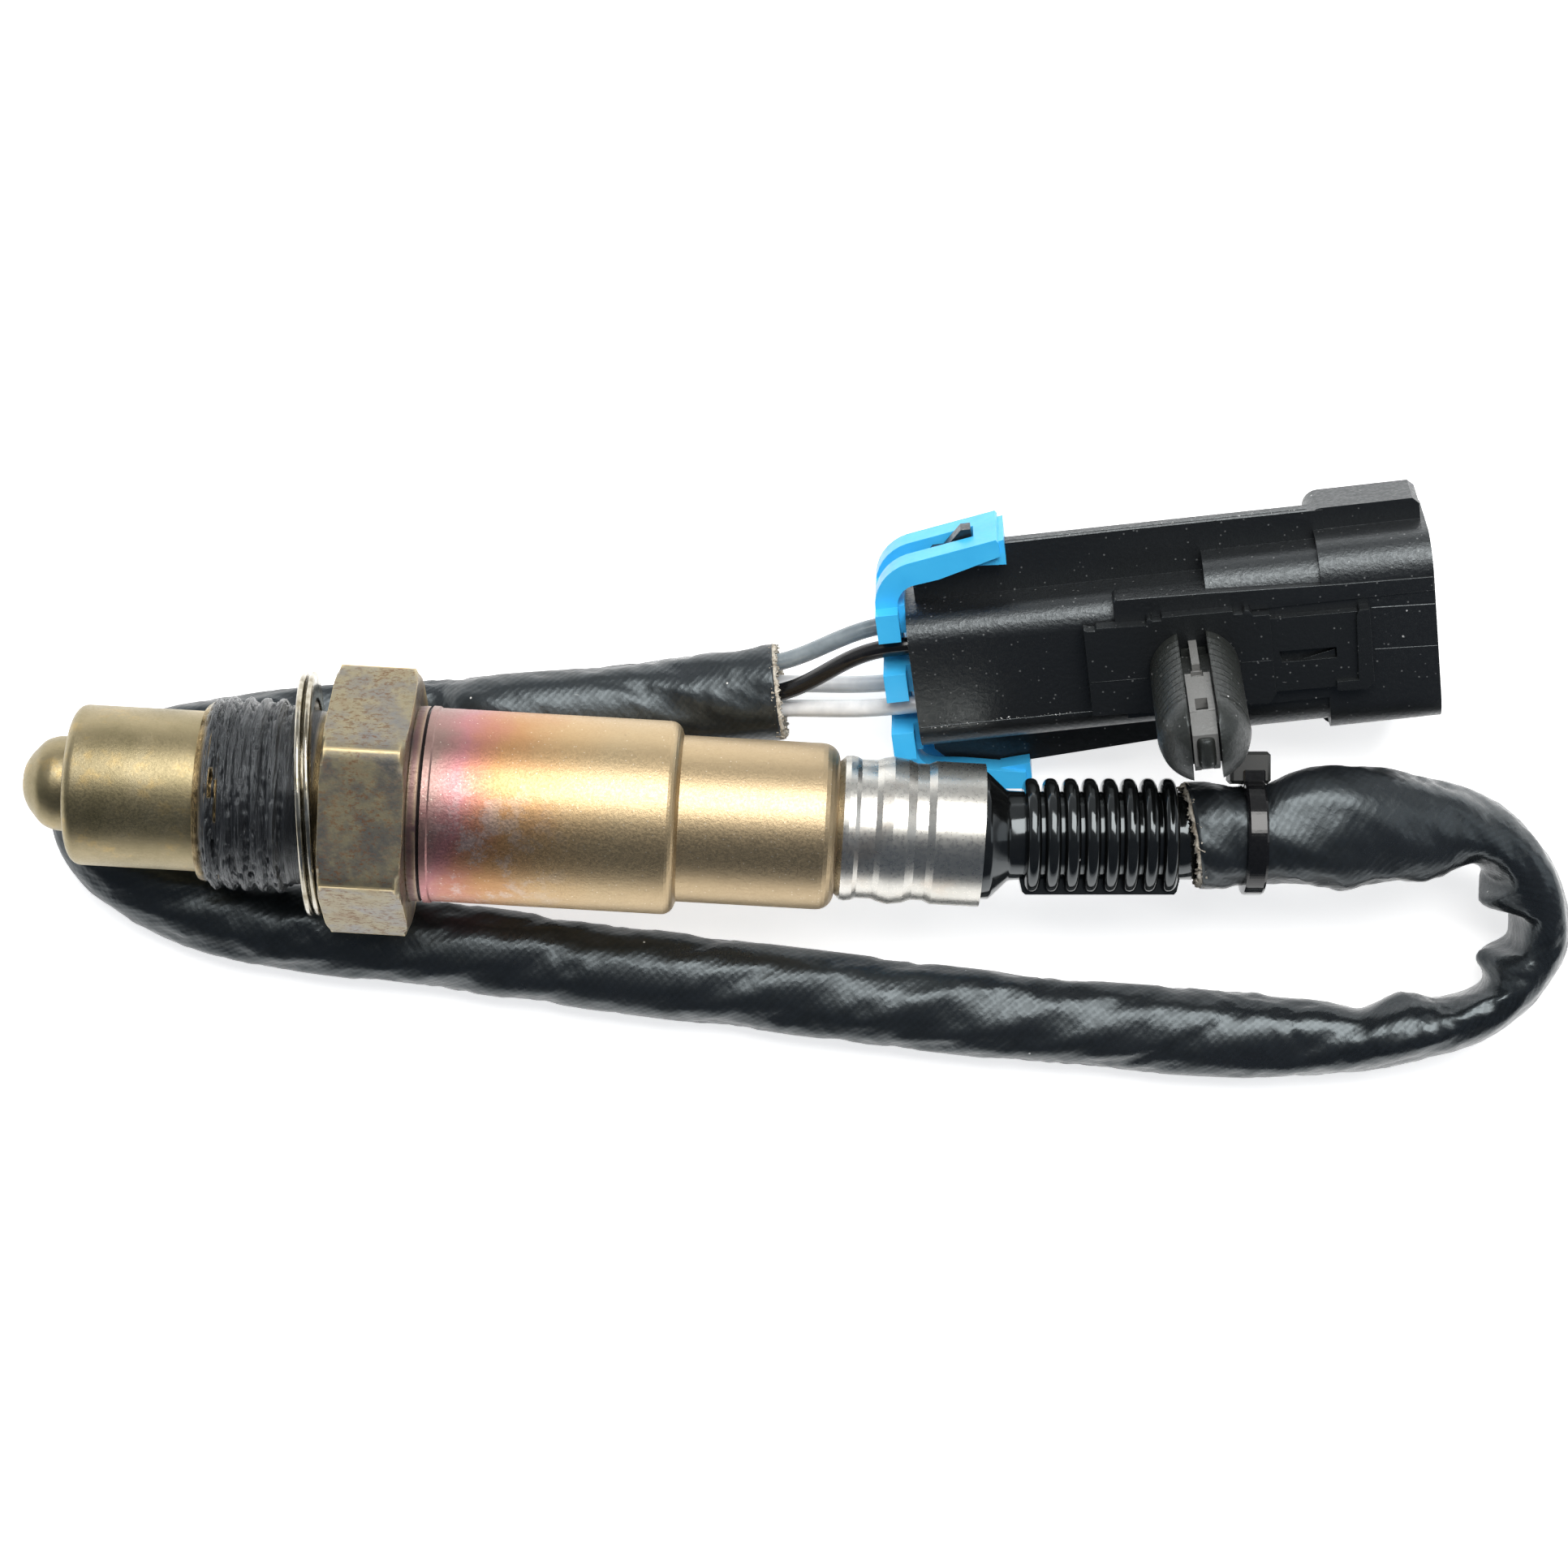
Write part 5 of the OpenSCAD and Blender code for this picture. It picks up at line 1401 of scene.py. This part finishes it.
class SENSOR_OT_build_shell(bpy.types.Operator):
    """Build the threaded barrel, the hexagon and the collar"""
    bl_idname = "sensor.build_shell"
    bl_label = "Build Shell"

    def execute(self, context):
        build_thread()
        build_hexagon()
        return {"FINISHED"}


class SENSOR_OT_build_gasket(bpy.types.Operator):
    """Build the folded gasket"""
    bl_idname = "sensor.build_gasket"
    bl_label = "Build Gasket"

    def execute(self, context):
        build_gasket()
        return {"FINISHED"}


class SENSOR_OT_build_tip(bpy.types.Operator):
    """Build the outer and inner tube and the tip's cap"""
    bl_idname = "sensor.build_tip"
    bl_label = "Build Tip"

    def execute(self, context):
        build_tip()
        return {"FINISHED"}


class SENSOR_OT_build_boot(bpy.types.Operator):
    """Build the bellows boot"""
    bl_idname = "sensor.build_boot"
    bl_label = "Build Boot"

    def execute(self, context):
        build_boot()
        return {"FINISHED"}


class SENSOR_OT_dress_nodes(bpy.types.Operator):
    """Give the CAD nodes that keep their shape their finishes"""
    bl_idname = "sensor.dress_nodes"
    bl_label = "Dress CAD Nodes"

    def execute(self, context):
        dress_nodes()
        return {"FINISHED"}


class SENSOR_PT_panel(bpy.types.Panel):
    """Sizes, colours and steps of the sensor"""
    bl_label = "Oxygen Sensor"
    bl_idname = "SENSOR_PT_panel"
    bl_space_type = "VIEW_3D"
    bl_region_type = "UI"
    bl_category = "Sensor"

    def draw(self, context):
        for key, group in SETTINGS.items():
            box = self.layout.box()
            for name in group.__annotations__:
                box.prop(getattr(context.scene, key), name)
        for step in STEPS:
            self.layout.operator(step.bl_idname)


SETTINGS = {"sensor_sizes": SensorSizes, "sensor_colours": SensorColours, "sensor_stage": SensorStage}
STEPS = (
    SENSOR_OT_make_node_groups, SENSOR_OT_make_finishes, SENSOR_OT_make_stage, SENSOR_OT_build_cable,
    SENSOR_OT_build_wires, SENSOR_OT_build_tie, SENSOR_OT_build_plug, SENSOR_OT_build_clip, SENSOR_OT_declare_cord,
    SENSOR_OT_build_shell, SENSOR_OT_build_gasket, SENSOR_OT_build_tip, SENSOR_OT_build_boot, SENSOR_OT_dress_nodes,
)
CLASSES = (*SETTINGS.values(), *STEPS, SENSOR_PT_panel)


def register():
    for cls in CLASSES:
        bpy.utils.register_class(cls)
    for key, group in SETTINGS.items():
        setattr(bpy.types.Scene, key, bpy.props.PointerProperty(type=group))


def unregister():
    for key in SETTINGS:
        delattr(bpy.types.Scene, key)
    for cls in reversed(CLASSES):
        bpy.utils.unregister_class(cls)


def main():
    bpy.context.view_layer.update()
    register()
    for step in STEPS:
        getattr(bpy.ops.sensor, step.bl_idname.split(".")[1])()


if __name__ == "__main__":
    main()
